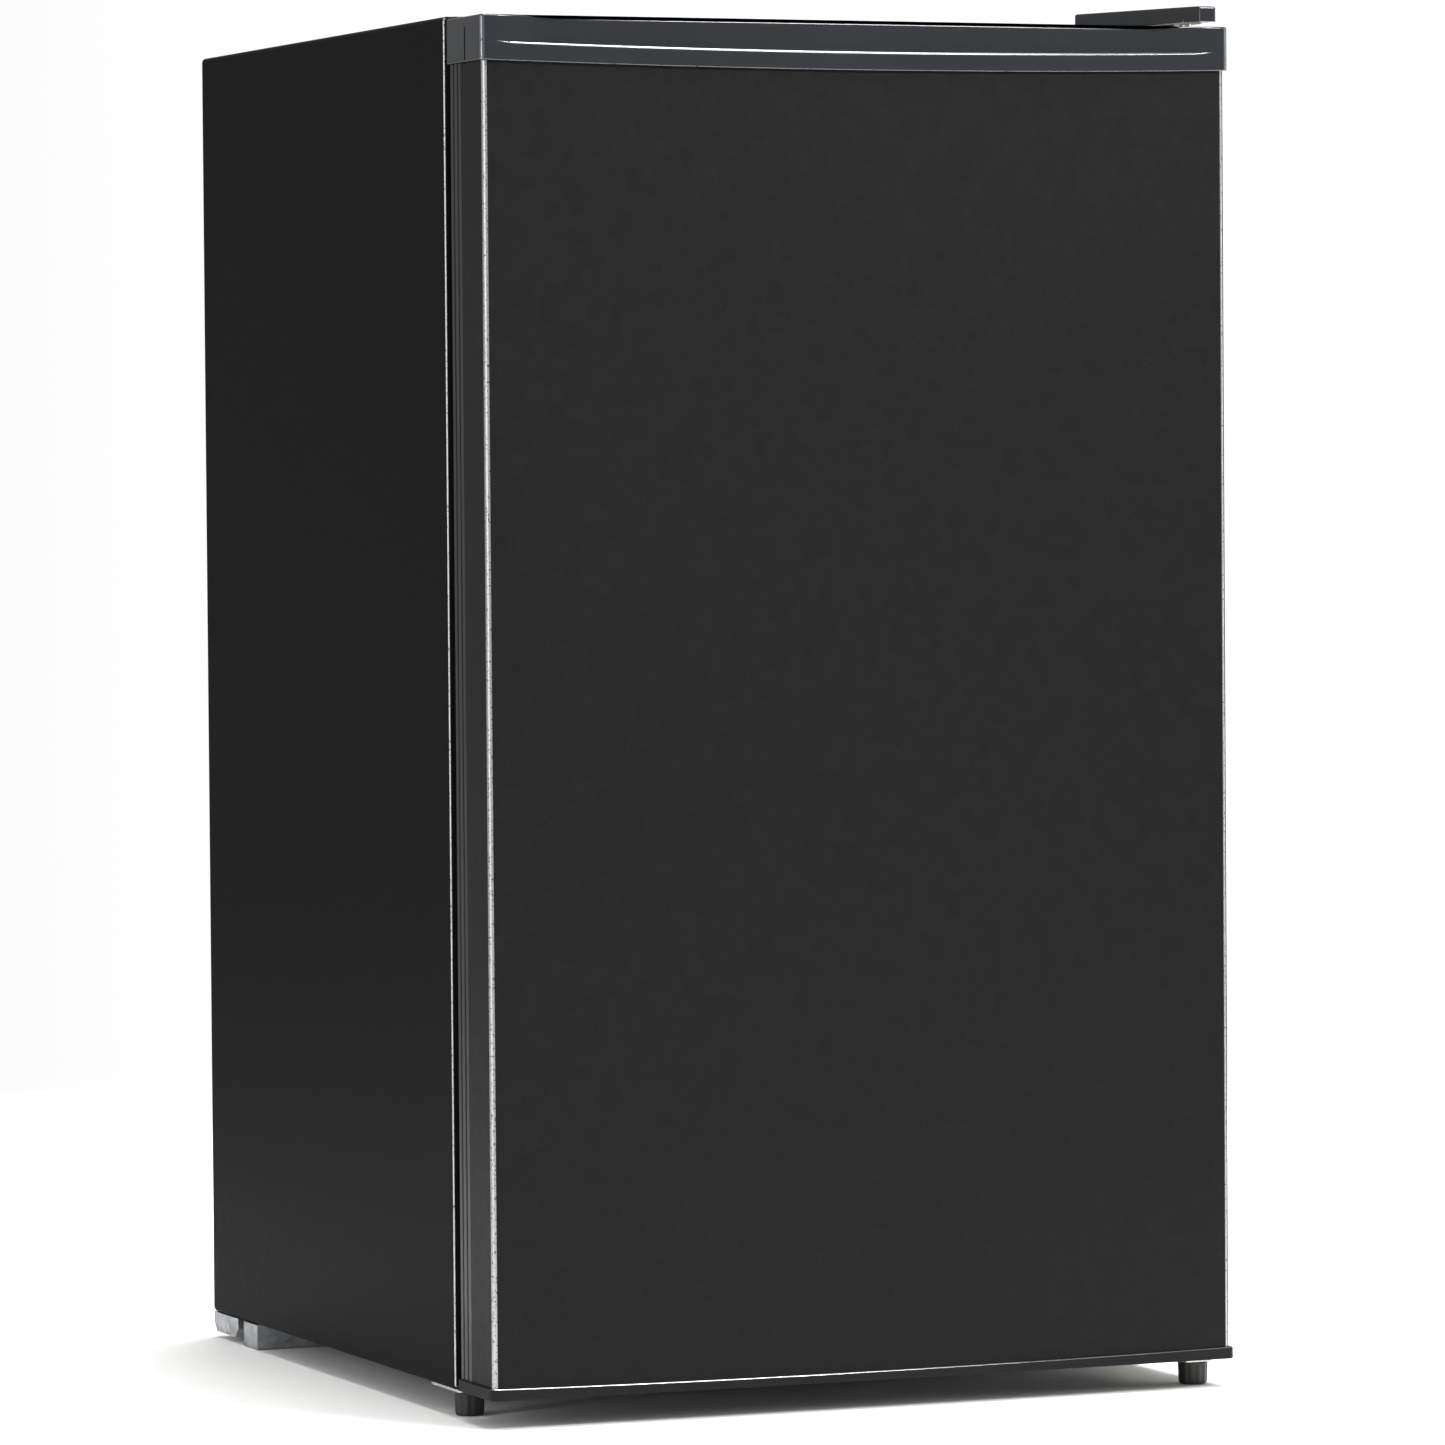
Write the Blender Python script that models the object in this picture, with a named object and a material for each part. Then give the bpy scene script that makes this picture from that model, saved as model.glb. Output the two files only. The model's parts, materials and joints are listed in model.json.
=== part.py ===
"""Compact refrigerator, 125 litre class: a single insulated door on the right, a freezer box at the top of
the white lining, and an open compressor compartment at the back.

Run it with: blender --background --python part.py
Metres, +Z up, front towards -Y. Shapes are written from the cabinet's front plane (y = 0 there, positive
backwards) and from the floor, and the empty named frame moves them so that the origin is at the bottom
centre of the whole appliance.
"""

from math import cos, pi, radians, sin

import bmesh
import bpy
from mathutils import Matrix, Vector

# Cabinet
CAB_HALF = 0.242  # half width over the painted steel
CAB_DEPTH = 0.460
CAB_BOTTOM = 0.017
CAB_TOP = 0.8375
SHEET = 0.001
SHEET_THICK = 0.0015  # the galvanised rails
GAP = 0.0003  # clearance between neighbouring pieces
FLANGE = 0.028  # width of the front flange that the door seal closes on
RETURN = 0.012  # folded edge at the bottom and the back
STEP_Y = 0.310  # front of the compressor compartment
STEP_Z = 0.208  # its roof

# Lining
LINER = 0.0015
IN_HALF = 0.2015
IN_FLOOR = 0.058
IN_ROOF = 0.7965
IN_BACK = 0.418
IN_STEP_Y = 0.274
IN_STEP_Z = 0.242
LEDGE_FRONT, LEDGE_BACK = 0.100, 0.372
LEDGE_IN = 0.1955  # how far in the moulded shelf ledges reach
SHELF_LEVELS = {"upper": 0.545, "lower": 0.395}

# Door
DOOR_BOTTOM = 0.0176
DOOR_TOP = 0.835
DOOR_BACK = 0.012  # distance of the door's back from the cabinet's front plane
DOOR_FRONT = 0.067  # distance of the skin's front corners from that plane
BOW = 0.003  # how far the middle of the door stands proud of its corners
CORNER = 0.004
CAP_PROUD = 0.002
TOP_CAP = 0.0267
BOTTOM_CAP = 0.0053
LEDGE_UP = 0.0113  # height of the grip ledge above the top cap's lower edge
GRIP_RECESS = 0.008
GRIP_DROP = 0.0014  # the top edge is lower over the grip than at the corners
TOP_LIP = 0.0032  # how far the top cap hangs over the skin in the middle
BOTTOM_LIP = 0.0018  # how far the bottom cap rises over the skin at its ends
HINGE_X, HINGE_Y = 0.2285, -0.041
PIN_R = 0.0035

# Freezer box
FREEZER_HALF = 0.188
FREEZER_LOW, FREEZER_HIGH = 0.655, 0.789
FREEZER_FRONT, FREEZER_REAR = 0.1185, 0.397
FLAP_Y, FLAP_Z = 0.103, 0.661  # the flap's hinge line
FLAP_HALF_T = 0.0042

# Thermostat
KNOB_Y, KNOB_Z = 0.168, 0.590

# Compressor
COMP_X, COMP_Y, COMP_R = -0.060, 0.384, 0.060

# Condenser
COIL_Y = CAB_DEPTH + 0.020
COIL_R = 0.0024
COIL_HALF = 0.205
COIL_LOW, COIL_RUNS, COIL_PITCH = 0.250, 9, 0.064
REACH_BACK = COIL_Y + COIL_R  # rearmost point

FRAME_Y = (DOOR_FRONT + CAP_PROUD + BOW - REACH_BACK) / 2

FINISHES = {
    "black_painted_steel": ((0.014, 0.014, 0.015), 0.42, 0.0),
    "black_door_steel": ((0.022, 0.022, 0.023), 0.48, 0.0),
    "black_gloss_plastic": ((0.018, 0.018, 0.019), 0.22, 0.0),
    "black_matt_plastic": ((0.015, 0.014, 0.013), 0.55, 0.0),
    "black_rubber": ((0.012, 0.012, 0.012), 0.70, 0.0),
    "white_lining": ((0.80, 0.81, 0.80), 0.35, 0.0),
    "white_plastic": ((0.78, 0.79, 0.79), 0.40, 0.0),
    "clear_plastic": ((0.72, 0.78, 0.80), 0.15, 0.0),
    "shelf_glass": ((0.62, 0.74, 0.70), 0.05, 0.0),
    "aluminium": ((0.66, 0.67, 0.68), 0.38, 1.0),
    "galvanised_steel": ((0.50, 0.51, 0.52), 0.45, 1.0),
    "zinc_steel": ((0.60, 0.60, 0.58), 0.30, 1.0),
    "black_enamel": ((0.010, 0.010, 0.010), 0.30, 0.0),
    "copper": ((0.72, 0.38, 0.24), 0.30, 1.0),
    "foam": ((0.80, 0.72, 0.50), 0.90, 0.0),
}


def clear_scene():
    for obj in list(bpy.data.objects):
        bpy.data.objects.remove(obj)


def finish(name):
    found = bpy.data.materials.get(name)
    if found:
        return found
    colour, roughness, metallic = FINISHES[name]
    made = bpy.data.materials.new(name)
    made.use_nodes = True
    shader = made.node_tree.nodes["Principled BSDF"]
    shader.inputs["Base Color"].default_value = (*colour, 1)
    shader.inputs["Roughness"].default_value = roughness
    shader.inputs["Metallic"].default_value = metallic
    return made


def axis_empty(name, at, parent=None):
    """An empty on a joint's axis. The pieces that move with the joint hang from it."""
    empty = bpy.data.objects.new(name, None)
    bpy.context.scene.collection.objects.link(empty)
    empty["at"] = at
    empty.parent = parent
    empty.location = Vector(at) - (Vector(parent["at"]) if parent else Vector())
    return empty


def solid(name, bm, look, group, smooth=False):
    """The mesh, drawn in the cabinet's coordinates, as an object whose origin is at its group's empty."""
    bmesh.ops.recalc_face_normals(bm, faces=bm.faces)
    bmesh.ops.translate(bm, verts=bm.verts, vec=-Vector(group["at"]))
    mesh = bpy.data.meshes.new(name)
    bm.to_mesh(mesh)
    bm.free()
    if smooth:
        mesh.shade_smooth()
        mesh.set_sharp_from_angle(angle=radians(35))
    obj = bpy.data.objects.new(name, mesh)
    bpy.context.scene.collection.objects.link(obj)
    obj.parent = group
    if look:
        mesh.materials.append(finish(look))
    return obj


def add_box(bm, low, high):
    size = [b - a for a, b in zip(low, high)]
    middle = [(a + b) / 2 for a, b in zip(low, high)]
    place = Matrix.Translation(middle) @ Matrix.Diagonal((*size, 1))
    bmesh.ops.create_cube(bm, size=1, matrix=place)


def add_loft(bm, loops):
    """A closed skin through loops of equal length, with a flat end on the first and the last."""
    rings = [[bm.verts.new(p) for p in loop] for loop in loops]
    count = len(rings[0])
    for low, high in zip(rings, rings[1:]):
        for i in range(count):
            j = (i + 1) % count
            bm.faces.new((low[i], low[j], high[j], high[i]))
    bm.faces.new(rings[0][::-1])
    bm.faces.new(rings[-1])


def along(axis, a, b, c):
    """A point at distance c along the axis, with (a, b) in the other two axes in X, Y, Z order."""
    return {"X": (c, a, b), "Y": (a, c, b), "Z": (a, b, c)}[axis]


def block(name, low, high, look, group, bevel=0.0):
    bm = bmesh.new()
    add_box(bm, low, high)
    obj = solid(name, bm, look, group)
    if bevel:
        soften(obj, bevel)
    return obj


def prism(name, outline, axis, start, end, look, group):
    bm = bmesh.new()
    add_loft(bm, [[along(axis, a, b, c) for a, b in outline] for c in (start, end)])
    return solid(name, bm, look, group)


def loft(name, loops, look, group):
    bm = bmesh.new()
    add_loft(bm, loops)
    return solid(name, bm, look, group, smooth=True)


def turned(name, profile, centre, axis, look, group, sides=20, ring=False):
    """A round piece from (radius, distance along the axis) points. A ring's profile closes on itself."""
    bm = bmesh.new()
    loops = []
    for r, c in profile:
        angles = (2 * pi * i / sides for i in range(sides))
        loops.append(
            [along(axis, centre[0] + r * cos(t), centre[1] + r * sin(t), c) for t in angles]
        )
    if not ring:
        add_loft(bm, loops)
        return solid(name, bm, look, group, smooth=True)
    rings = [[bm.verts.new(p) for p in loop] for loop in loops]
    for inner, outer in zip(rings, rings[1:] + rings[:1]):
        for i in range(sides):
            j = (i + 1) % sides
            bm.faces.new((inner[i], inner[j], outer[j], outer[i]))
    return solid(name, bm, look, group, smooth=True)


def pipe(name, points, radius, look, group, sides=2):
    """A bent tube along the points, as a curve with filled ends."""
    curve = bpy.data.curves.new(name, "CURVE")
    curve.dimensions = "3D"
    curve.bevel_depth = radius
    curve.bevel_resolution = sides
    curve.use_fill_caps = True
    spline = curve.splines.new("POLY")
    spline.points.add(len(points) - 1)
    for slot, point in zip(spline.points, points):
        slot.co = (*(Vector(point) - Vector(group["at"])), 1)
    curve.materials.append(finish(look))
    obj = bpy.data.objects.new(name, curve)
    bpy.context.scene.collection.objects.link(obj)
    obj.parent = group
    return obj


def rounded_route(points, radius, steps=4):
    """The route with each corner replaced by a smooth bend."""
    route = [Vector(points[0])]
    for before, corner, after in zip(points, points[1:], points[2:]):
        corner = Vector(corner)
        back = Vector(before) - corner
        ahead = Vector(after) - corner
        reach = min(radius, back.length * 0.48, ahead.length * 0.48)
        start = corner + back.normalized() * reach
        end = corner + ahead.normalized() * reach
        for i in range(steps + 1):
            t = i / steps
            route.append(start * (1 - t) ** 2 + corner * 2 * t * (1 - t) + end * t * t)
    route.append(Vector(points[-1]))
    return route


def soften(obj, width, segments=2):
    bevel = obj.modifiers.new("Bevel", "BEVEL")
    bevel.width = width
    bevel.segments = segments
    bevel.limit_method = "ANGLE"
    bevel.angle_limit = radians(40)


def combine(obj, tool, operation):
    """A Boolean with a hidden helper."""
    tool.hide_render = True
    tool.display_type = "WIRE"
    cut = obj.modifiers.new(tool.name, "BOOLEAN")
    cut.operation = operation
    cut.object = tool


def boxes_tool(obj, boxes):
    bm = bmesh.new()
    for low, high in boxes:
        add_box(bm, low, high)
    return solid(obj.name + "_tool", bm, None, obj.parent)


def carve(obj, *boxes):
    combine(obj, boxes_tool(obj, boxes), "DIFFERENCE")


def weld(obj, *boxes):
    combine(obj, boxes_tool(obj, boxes), "UNION")


def drill(obj, radius, centre, axis, start, end, sides=20):
    profile = [(radius, start), (radius, end)]
    tool = turned(obj.name + "_drill", profile, centre, axis, None, obj.parent, sides)
    combine(obj, tool, "DIFFERENCE")


def strip(path, thickness):
    """The outline of a sheet of that thickness, folded along the path, on its left side."""
    points = [Vector(p) for p in path]
    legs = [(b - a).normalized() for a, b in zip(points, points[1:])]
    sides = [Vector((-leg.y, leg.x)) for leg in legs]
    offset = [points[0] + sides[0] * thickness]
    for corner, one, two in zip(points[1:], sides, sides[1:]):
        offset.append(corner + (one + two) * thickness / (1 + one.dot(two)))
    offset.append(points[-1] + sides[-1] * thickness)
    return [tuple(p) for p in points + offset[::-1]]


def arc(centre, radius, first, last, steps):
    angles = (radians(first + (last - first) * i / steps) for i in range(steps + 1))
    return [(centre[0] + radius * cos(t), centre[1] + radius * sin(t)) for t in angles]


def side_profile(front, back, floor, roof, step_y, step_z):
    """The (y, z) outline of the lining or the foam, with the step over the compressor."""
    return [(front, floor), (step_y, floor), (step_y, step_z), (back, step_z), (back, roof), (front, roof)]


# Cabinet shell


def cabinet_wrapper(group):
    low, high = (-CAB_HALF, 0, CAB_BOTTOM), (CAB_HALF, CAB_DEPTH, CAB_TOP)
    shell = block("cabinet_wrapper", low, high, "black_painted_steel", group)
    inside = CAB_HALF - SHEET
    carve(
        shell,
        ((-inside, SHEET, CAB_BOTTOM + SHEET), (inside, CAB_DEPTH - SHEET, CAB_TOP - SHEET)),
    )
    front = CAB_HALF - FLANGE
    back = CAB_HALF - RETURN
    opening = block(
        "wrapper_front_opening", (-front, -0.01, 0), (front, 0.01, CAB_TOP - FLANGE), None, group
    )
    combine(shell, opening, "DIFFERENCE")
    low, high = (-back, CAB_DEPTH - 0.01, 0), (back, CAB_DEPTH + 0.01, CAB_TOP - RETURN)
    rear = block("wrapper_rear_opening", low, high, None, group)
    combine(shell, rear, "DIFFERENCE")
    low, high = (-back, -0.01, 0), (back, CAB_DEPTH + 0.01, 0.03)
    below = block("wrapper_bottom_opening", low, high, None, group)
    combine(shell, below, "DIFFERENCE")
    return shell


def sheet_panels(group):
    side = CAB_HALF - SHEET - GAP
    back_y = CAB_DEPTH - SHEET - GAP
    block(
        "back_panel",
        (-side, back_y - 0.0008, STEP_Z + 0.002),
        (side, back_y, CAB_TOP - SHEET - GAP),
        "galvanised_steel",
        group,
    )
    low = CAB_BOTTOM + SHEET + GAP
    folded = [
        (0.0026, low + 0.016),
        (0.0026, low),
        (STEP_Y, low),
        (STEP_Y, STEP_Z),
        (back_y - 0.0011, STEP_Z),
    ]
    prism("base_panel", strip(folded, 0.0008), "X", -side, side, "galvanised_steel", group)


def foam_and_lining(group):
    side = CAB_HALF - SHEET - GAP
    low = CAB_BOTTOM + SHEET + GAP + 0.0008 + GAP
    back = CAB_DEPTH - SHEET - 0.0008 - 3 * GAP
    roof = CAB_TOP - SHEET - GAP
    profile = side_profile(0.0038, back, low, roof, STEP_Y - 0.0012, STEP_Z + 0.0012)
    foam = prism("insulation_foam", profile, "X", -side, side, "foam", group)
    skin = LINER + GAP
    room = side_profile(
        -0.01, IN_BACK + skin, IN_FLOOR - skin, IN_ROOF + skin, IN_STEP_Y + skin, IN_STEP_Z - skin
    )
    hollow = prism("foam_hollow", room, "X", -IN_HALF - skin, IN_HALF + skin, None, group)
    combine(foam, hollow, "DIFFERENCE")

    outside = side_profile(
        0, IN_BACK + LINER, IN_FLOOR - LINER, IN_ROOF + LINER, IN_STEP_Y + LINER, IN_STEP_Z - LINER
    )
    lining = prism("inner_liner", outside, "X", -IN_HALF - LINER, IN_HALF + LINER, "white_lining", group)
    lip = CAB_HALF - FLANGE - GAP
    weld(lining, ((-lip, 0, CAB_BOTTOM + 0.0015), (lip, LINER, CAB_TOP - FLANGE - GAP)))
    inside = side_profile(-0.01, IN_BACK, IN_FLOOR, IN_ROOF, IN_STEP_Y, IN_STEP_Z)
    cavity = prism("liner_cavity", inside, "X", -IN_HALF, IN_HALF, None, group)
    combine(lining, cavity, "DIFFERENCE")
    ledges = []
    for level_z in (*SHELF_LEVELS.values(), FREEZER_LOW - 0.028, IN_STEP_Z):
        back = LEDGE_BACK if level_z > IN_STEP_Z else IN_STEP_Y + LINER / 2
        for turn in (-1, 1):
            xs = sorted((turn * LEDGE_IN, turn * (IN_HALF + LINER / 2)))
            ledges.append(((xs[0], LEDGE_FRONT, level_z - 0.005), (xs[1], back, level_z)))
    bm = bmesh.new()
    for low_corner, high_corner in ledges:
        add_box(bm, low_corner, high_corner)
    combine(lining, solid("liner_ledges", bm, None, group), "UNION")


# Underside


def rear_support(group):
    """The rail that stands on the floor, the bar behind it and the plate above them."""
    end = CAB_HALF - 0.0005
    inner = end - SHEET_THICK
    rail = block("base_rail", (-end, 0.371, 0), (end, 0.399, 0.0165), "galvanised_steel", group)
    carve(rail, ((-inner, 0.371 + SHEET_THICK, SHEET_THICK), (inner, 0.399 - SHEET_THICK, 0.03)))
    folds = ((0.4105, 0.0165), (0.4105, 0.0100), (0.4165, 0.0040))
    centre = 2 * 0.4350
    outline = [*folds, *((centre - y, z) for y, z in folds[::-1])]
    bar = prism("rear_crossbar", outline, "X", -end, end, "galvanised_steel", group)
    folds = ((0.4120, 0.0300), (0.4120, 0.0106), (0.4171, 0.0055))
    hollow = [*folds, *((centre - y, z) for y, z in folds[::-1])]
    combine(bar, prism("crossbar_hollow", hollow, "X", -inner, inner, None, group), "DIFFERENCE")
    block(
        "compressor_base_plate",
        (-0.2295, STEP_Y + 0.003, 0.0168),
        (0.2295, CAB_DEPTH - 0.002, 0.0181),
        "galvanised_steel",
        group,
    )


def foot(name, centre, top, middle, group):
    """A slightly tapered moulded foot. Its middle is a stud of its own, or a hole for one."""
    profile = [(0.0082, 0.0), (0.0088, 0.0008), (0.0093, top), *middle]
    return turned(name, profile, centre, "Z", "black_matt_plastic", group, sides=24)


def front_supports(group, left_axis, right_axis):
    left = left_axis["at"][:2]
    plate_top = CAB_BOTTOM - GAP
    plate = block(
        "left_foot_plate",
        (left[0] - 0.011, -0.001, plate_top - 0.0015),
        (left[0] + 0.045, 0.046, plate_top),
        "zinc_steel",
        group,
    )
    drill(plate, 0.0041, left, "Z", 0, 0.03)
    foot_top = plate_top - 0.0015 - GAP
    foot("front_left_foot", left, foot_top, [(PIN_R, foot_top), (PIN_R, plate_top)], left_axis)

    low = plate_top - 0.0025
    outline = [
        (0.184, 0.052),
        (0.184, 0.006),
        (0.214, HINGE_Y + 0.007),
        (0.220, HINGE_Y - 0.0085),
        (0.237, HINGE_Y - 0.0085),
        (0.2395, HINGE_Y - 0.003),
        (0.2395, 0.052),
    ]
    bracket = prism("lower_hinge_bracket", outline, "Z", low, plate_top, "zinc_steel", group)
    drill(bracket, PIN_R + GAP, (HINGE_X, HINGE_Y), "Z", 0, 0.03)
    shoulder = [
        (PIN_R, 0.0045),
        (PIN_R, plate_top + GAP),
        (0.0062, plate_top + GAP),
        (0.0062, plate_top + 0.0009),
        (PIN_R, plate_top + 0.0009),
        (PIN_R, 0.0300),
        (PIN_R - 0.001, 0.0310),
    ]
    turned("lower_hinge_pin", shoulder, (HINGE_X, HINGE_Y), "Z", "zinc_steel", group)
    socket = [(0.0040, low - GAP), (0.0040, 0.0035), (0.0005, 0.0035)]
    foot("front_right_foot", (HINGE_X, HINGE_Y), low - GAP, socket, right_axis)


# Top hinge


def top_hinge(group):
    low = CAB_TOP + GAP
    high = low + 0.0025
    tip = HINGE_Y - 0.007
    outline = [(0.199, 0.028), (0.212, -0.006), (0.2235, tip), (0.2355, tip), (0.2355, 0.028)]
    bracket = prism("top_hinge_bracket", outline, "Z", low, high, "zinc_steel", group)
    drill(bracket, PIN_R + GAP, (HINGE_X, HINGE_Y), "Z", 0.8, 0.9)
    pin = [
        (PIN_R - 0.001, 0.8150),
        (PIN_R, 0.8160),
        (PIN_R, high + GAP),
        (0.0052, high + GAP),
        (0.0052, high + 0.0028),
        (0.0030, high + 0.0036),
    ]
    turned("top_hinge_pin", pin, (HINGE_X, HINGE_Y), "Z", "zinc_steel", group)

    edge = [(0.190, 0.034), (0.2265, -0.058), (0.2295, -0.060)]
    edge += [(0.2380, -0.060), (0.2400, -0.058), (0.2400, 0.034)]
    middle = Vector((0.221, -0.006))
    base, top = low + 0.0009, 0.848

    def ring(z, inset):
        return [(*(Vector(p) + (middle - Vector(p)).normalized() * inset), z) for p in edge]

    rings = [ring(base, 0), ring(top - 0.001, 0), ring(top, 0.0012)]
    cover = loft("hinge_cover", rings, "black_gloss_plastic", group)
    hollow = loft("cover_hollow", [ring(base - 0.01, 0.0022), ring(top - 0.0015, 0.0022)], None, group)
    combine(cover, hollow, "DIFFERENCE")


# Door


def door_plan(side, front, back, corner=CORNER, recess=0.0, segments=20):
    """The door seen from above, from its back left round the bowed front to its back right."""
    turn = 3
    outline = [(-side, -back)]
    left = (-side + corner, -front + corner)
    outline += arc(left, corner, 180, 262, turn)
    for i in range(1, segments):
        x = (side - corner) * (2 * i / segments - 1)
        share = abs(x) / CAB_HALF
        grip = min(1.0, max(0.0, (0.94 - share) / 0.16))
        outline.append((x, -front - BOW * (1 - share * share) + recess * grip))
    right = (side - corner, -front + corner)
    outline += arc(right, corner, 278, 360, turn)
    outline.append((side, -back))
    return outline


def lip(cap, root, reach):
    """A thin edge of the cap in front of the skin, from z = root to root + reach(share of the half width)."""
    loops = []
    for i in range(25):
        share = 0.97 * (i / 12 - 1)
        bow = BOW * (1 - share * share)
        outer = -DOOR_FRONT - CAP_PROUD + 0.0001 - bow
        inner = -DOOR_FRONT - GAP - bow
        end = root + reach(share)
        corners = ((outer, root), (outer, end), (inner, end), (inner, root))
        loops.append([(CAB_HALF * share, y, z) for y, z in corners])
    bm = bmesh.new()
    add_loft(bm, loops)
    combine(cap, solid(cap.name + "_lip", bm, None, cap.parent), "UNION")


def level(outline, z):
    return [(x, y, z) for x, y in outline]


def door_shell(group):
    skin_low = DOOR_BOTTOM + BOTTOM_CAP + GAP
    skin_high = DOOR_TOP - TOP_CAP - GAP
    outer = door_plan(CAB_HALF, DOOR_FRONT, 0.030)
    skin = prism("door_skin", strip(outer, SHEET), "Z", skin_low, skin_high, "black_door_steel", group)
    skin.data.shade_smooth()
    skin.data.set_sharp_from_angle(angle=radians(35))

    for name, turn in (("door_trim_left", -1), ("door_trim_right", 1)):
        edge = CAB_HALF
        groove = edge - 0.0014
        outline = [
            (edge, -0.0297),
            (edge, -0.0255),
            (groove, -0.0250),
            (groove, -0.0232),
            (edge, -0.0227),
            (edge, -0.0185),
            (groove, -0.0180),
            (groove, -0.0162),
            (edge, -0.0157),
            (edge, -DOOR_BACK),
            (edge - 0.0125, -DOOR_BACK),
            (edge - 0.0125, -0.0140),
            (edge - 0.0030, -0.0140),
            (edge - 0.0030, -0.0297),
        ]
        shape = [(turn * x, y) for x, y in outline]
        prism(name, shape, "Z", skin_low, skin_high, "black_matt_plastic", group)

    full = door_plan(CAB_HALF + CAP_PROUD, DOOR_FRONT + CAP_PROUD, DOOR_BACK)
    gripped = door_plan(CAB_HALF + CAP_PROUD, DOOR_FRONT + CAP_PROUD, DOOR_BACK, recess=GRIP_RECESS)
    rounded = door_plan(CAB_HALF + 0.001, DOOR_FRONT + 0.001, DOOR_BACK, recess=GRIP_RECESS)
    low = DOOR_TOP - TOP_CAP
    stages = [
        level(full, low),
        level(full, low + LEDGE_UP - 0.0005),
        level(gripped, low + LEDGE_UP),
        level(gripped, DOOR_TOP - 0.001),
        level(rounded, DOOR_TOP),
    ]
    cap = loft("door_top_cap", stages, "black_gloss_plastic", group)
    lip(cap, low + 0.001, lambda share: -0.001 - TOP_LIP * (1 - share * share))
    carve(
        cap,
        ((-0.236, -0.0565, low - 0.01), (0.205, -0.0165, DOOR_TOP - 0.003)),
        ((-0.190, -0.1, DOOR_TOP - GRIP_DROP), (0.190, -0.0585, DOOR_TOP + 0.01)),
    )
    drill(cap, 0.0073, (HINGE_X, HINGE_Y), "Z", low + 0.004, 0.9)

    top = DOOR_BOTTOM + BOTTOM_CAP
    base = loft("door_bottom_cap", [level(full, DOOR_BOTTOM), level(full, top)], "black_gloss_plastic", group)
    profile = [(0.0095, DOOR_BOTTOM + 0.001), (0.0095, 0.0360)]
    combine(base, turned("bottom_cap_boss", profile, (HINGE_X, HINGE_Y), "Z", None, group), "UNION")
    lip(base, top - 0.001, lambda share: 0.0012 + BOTTOM_LIP * share * share)
    drill(base, 0.0073, (HINGE_X, HINGE_Y), "Z", 0, 0.0330)

    bush = [(PIN_R + GAP, 0), (0.0070, 0), (0.0070, 0.0135), (PIN_R + GAP, 0.0135)]
    for name, start in (("lower_hinge_bush", DOOR_BOTTOM + 0.0012), ("upper_hinge_bush", DOOR_TOP - 0.0140)):
        ring = [(r, start + z) for r, z in bush]
        turned(name, ring, (HINGE_X, HINGE_Y), "Z", "white_plastic", group, ring=True)


def door_filling(group):
    """Foam, the white inner panel with its raised side walls, and the seal."""
    low = DOOR_BOTTOM + BOTTOM_CAP + GAP
    high = DOOR_TOP - TOP_CAP - GAP
    plan = door_plan(CAB_HALF - 0.0034, DOOR_FRONT - SHEET - GAP, 0.0143, corner=0.003)
    foam = prism("door_foam", plan, "Z", low, high, "foam", group)
    drill(foam, 0.0099, (HINGE_X, HINGE_Y), "Z", 0, 0.0364)
    weld(foam, ((-0.2355, -0.056, high - 0.005), (0.2045, -0.017, DOOR_TOP - 0.0035)))

    edge = CAB_HALF - 0.0125 - GAP
    panel = block("door_liner", (-edge, -0.0140, low), (edge, -DOOR_BACK, high), "white_lining", group)
    wall = 0.0100
    walls = [((turn * 0.185 - wall / 2, -DOOR_BACK - 0.0005, 0.075), (turn * 0.185 + wall / 2, 0.046, 0.780))
             for turn in (-1, 1)]
    ends = [((-0.185, -DOOR_BACK - 0.0005, z), (0.185, 0.020, z + wall)) for z in (0.075, 0.770)]
    tool = bmesh.new()
    for low_corner, high_corner in walls:
        add_box(tool, low_corner, high_corner)
    combine(panel, solid("door_side_walls", tool, None, group), "UNION")
    tool = bmesh.new()
    for low_corner, high_corner in ends:
        add_box(tool, low_corner, high_corner)
    combine(panel, solid("door_end_walls", tool, None, group), "UNION")

    seal_low, seal_high = CAB_BOTTOM + 0.0185, CAB_TOP - 0.0185
    low, high = (-0.2235, -DOOR_BACK + GAP, seal_low), (0.2235, -GAP, seal_high)
    seal = block("door_seal", low, high, "black_rubber", group)
    carve(seal, ((-0.2085, -0.03, seal_low + 0.015), (0.2085, 0.03, seal_high - 0.015)))


RACKS = {"top": (0.640, 0.062, 0.048), "middle": (0.420, 0.078, 0.060), "bottom": (0.095, 0.078, 0.085)}


def door_racks(group):
    """Three lift-out racks: where each stands, how far it reaches in, and the height of its tray."""
    half = 0.1795
    for name, (z, reach, height) in RACKS.items():
        low, high = (-half, -DOOR_BACK + GAP, z), (half, reach, z + height)
        rack = block(f"door_rack_{name}", low, high, "clear_plastic", group)
        carve(rack, ((-half + 0.002, -DOOR_BACK + 0.0023, z + 0.002), (half - 0.002, reach - 0.002, z + 0.2)))
    z, reach, height = RACKS["bottom"]
    block(
        "bottle_bar",
        (-half, reach - 0.010, z + height + 0.030),
        (half, reach - 0.004, z + height + 0.050),
        "white_plastic",
        group,
        bevel=0.0015,
    )


# Freezer box


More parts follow.
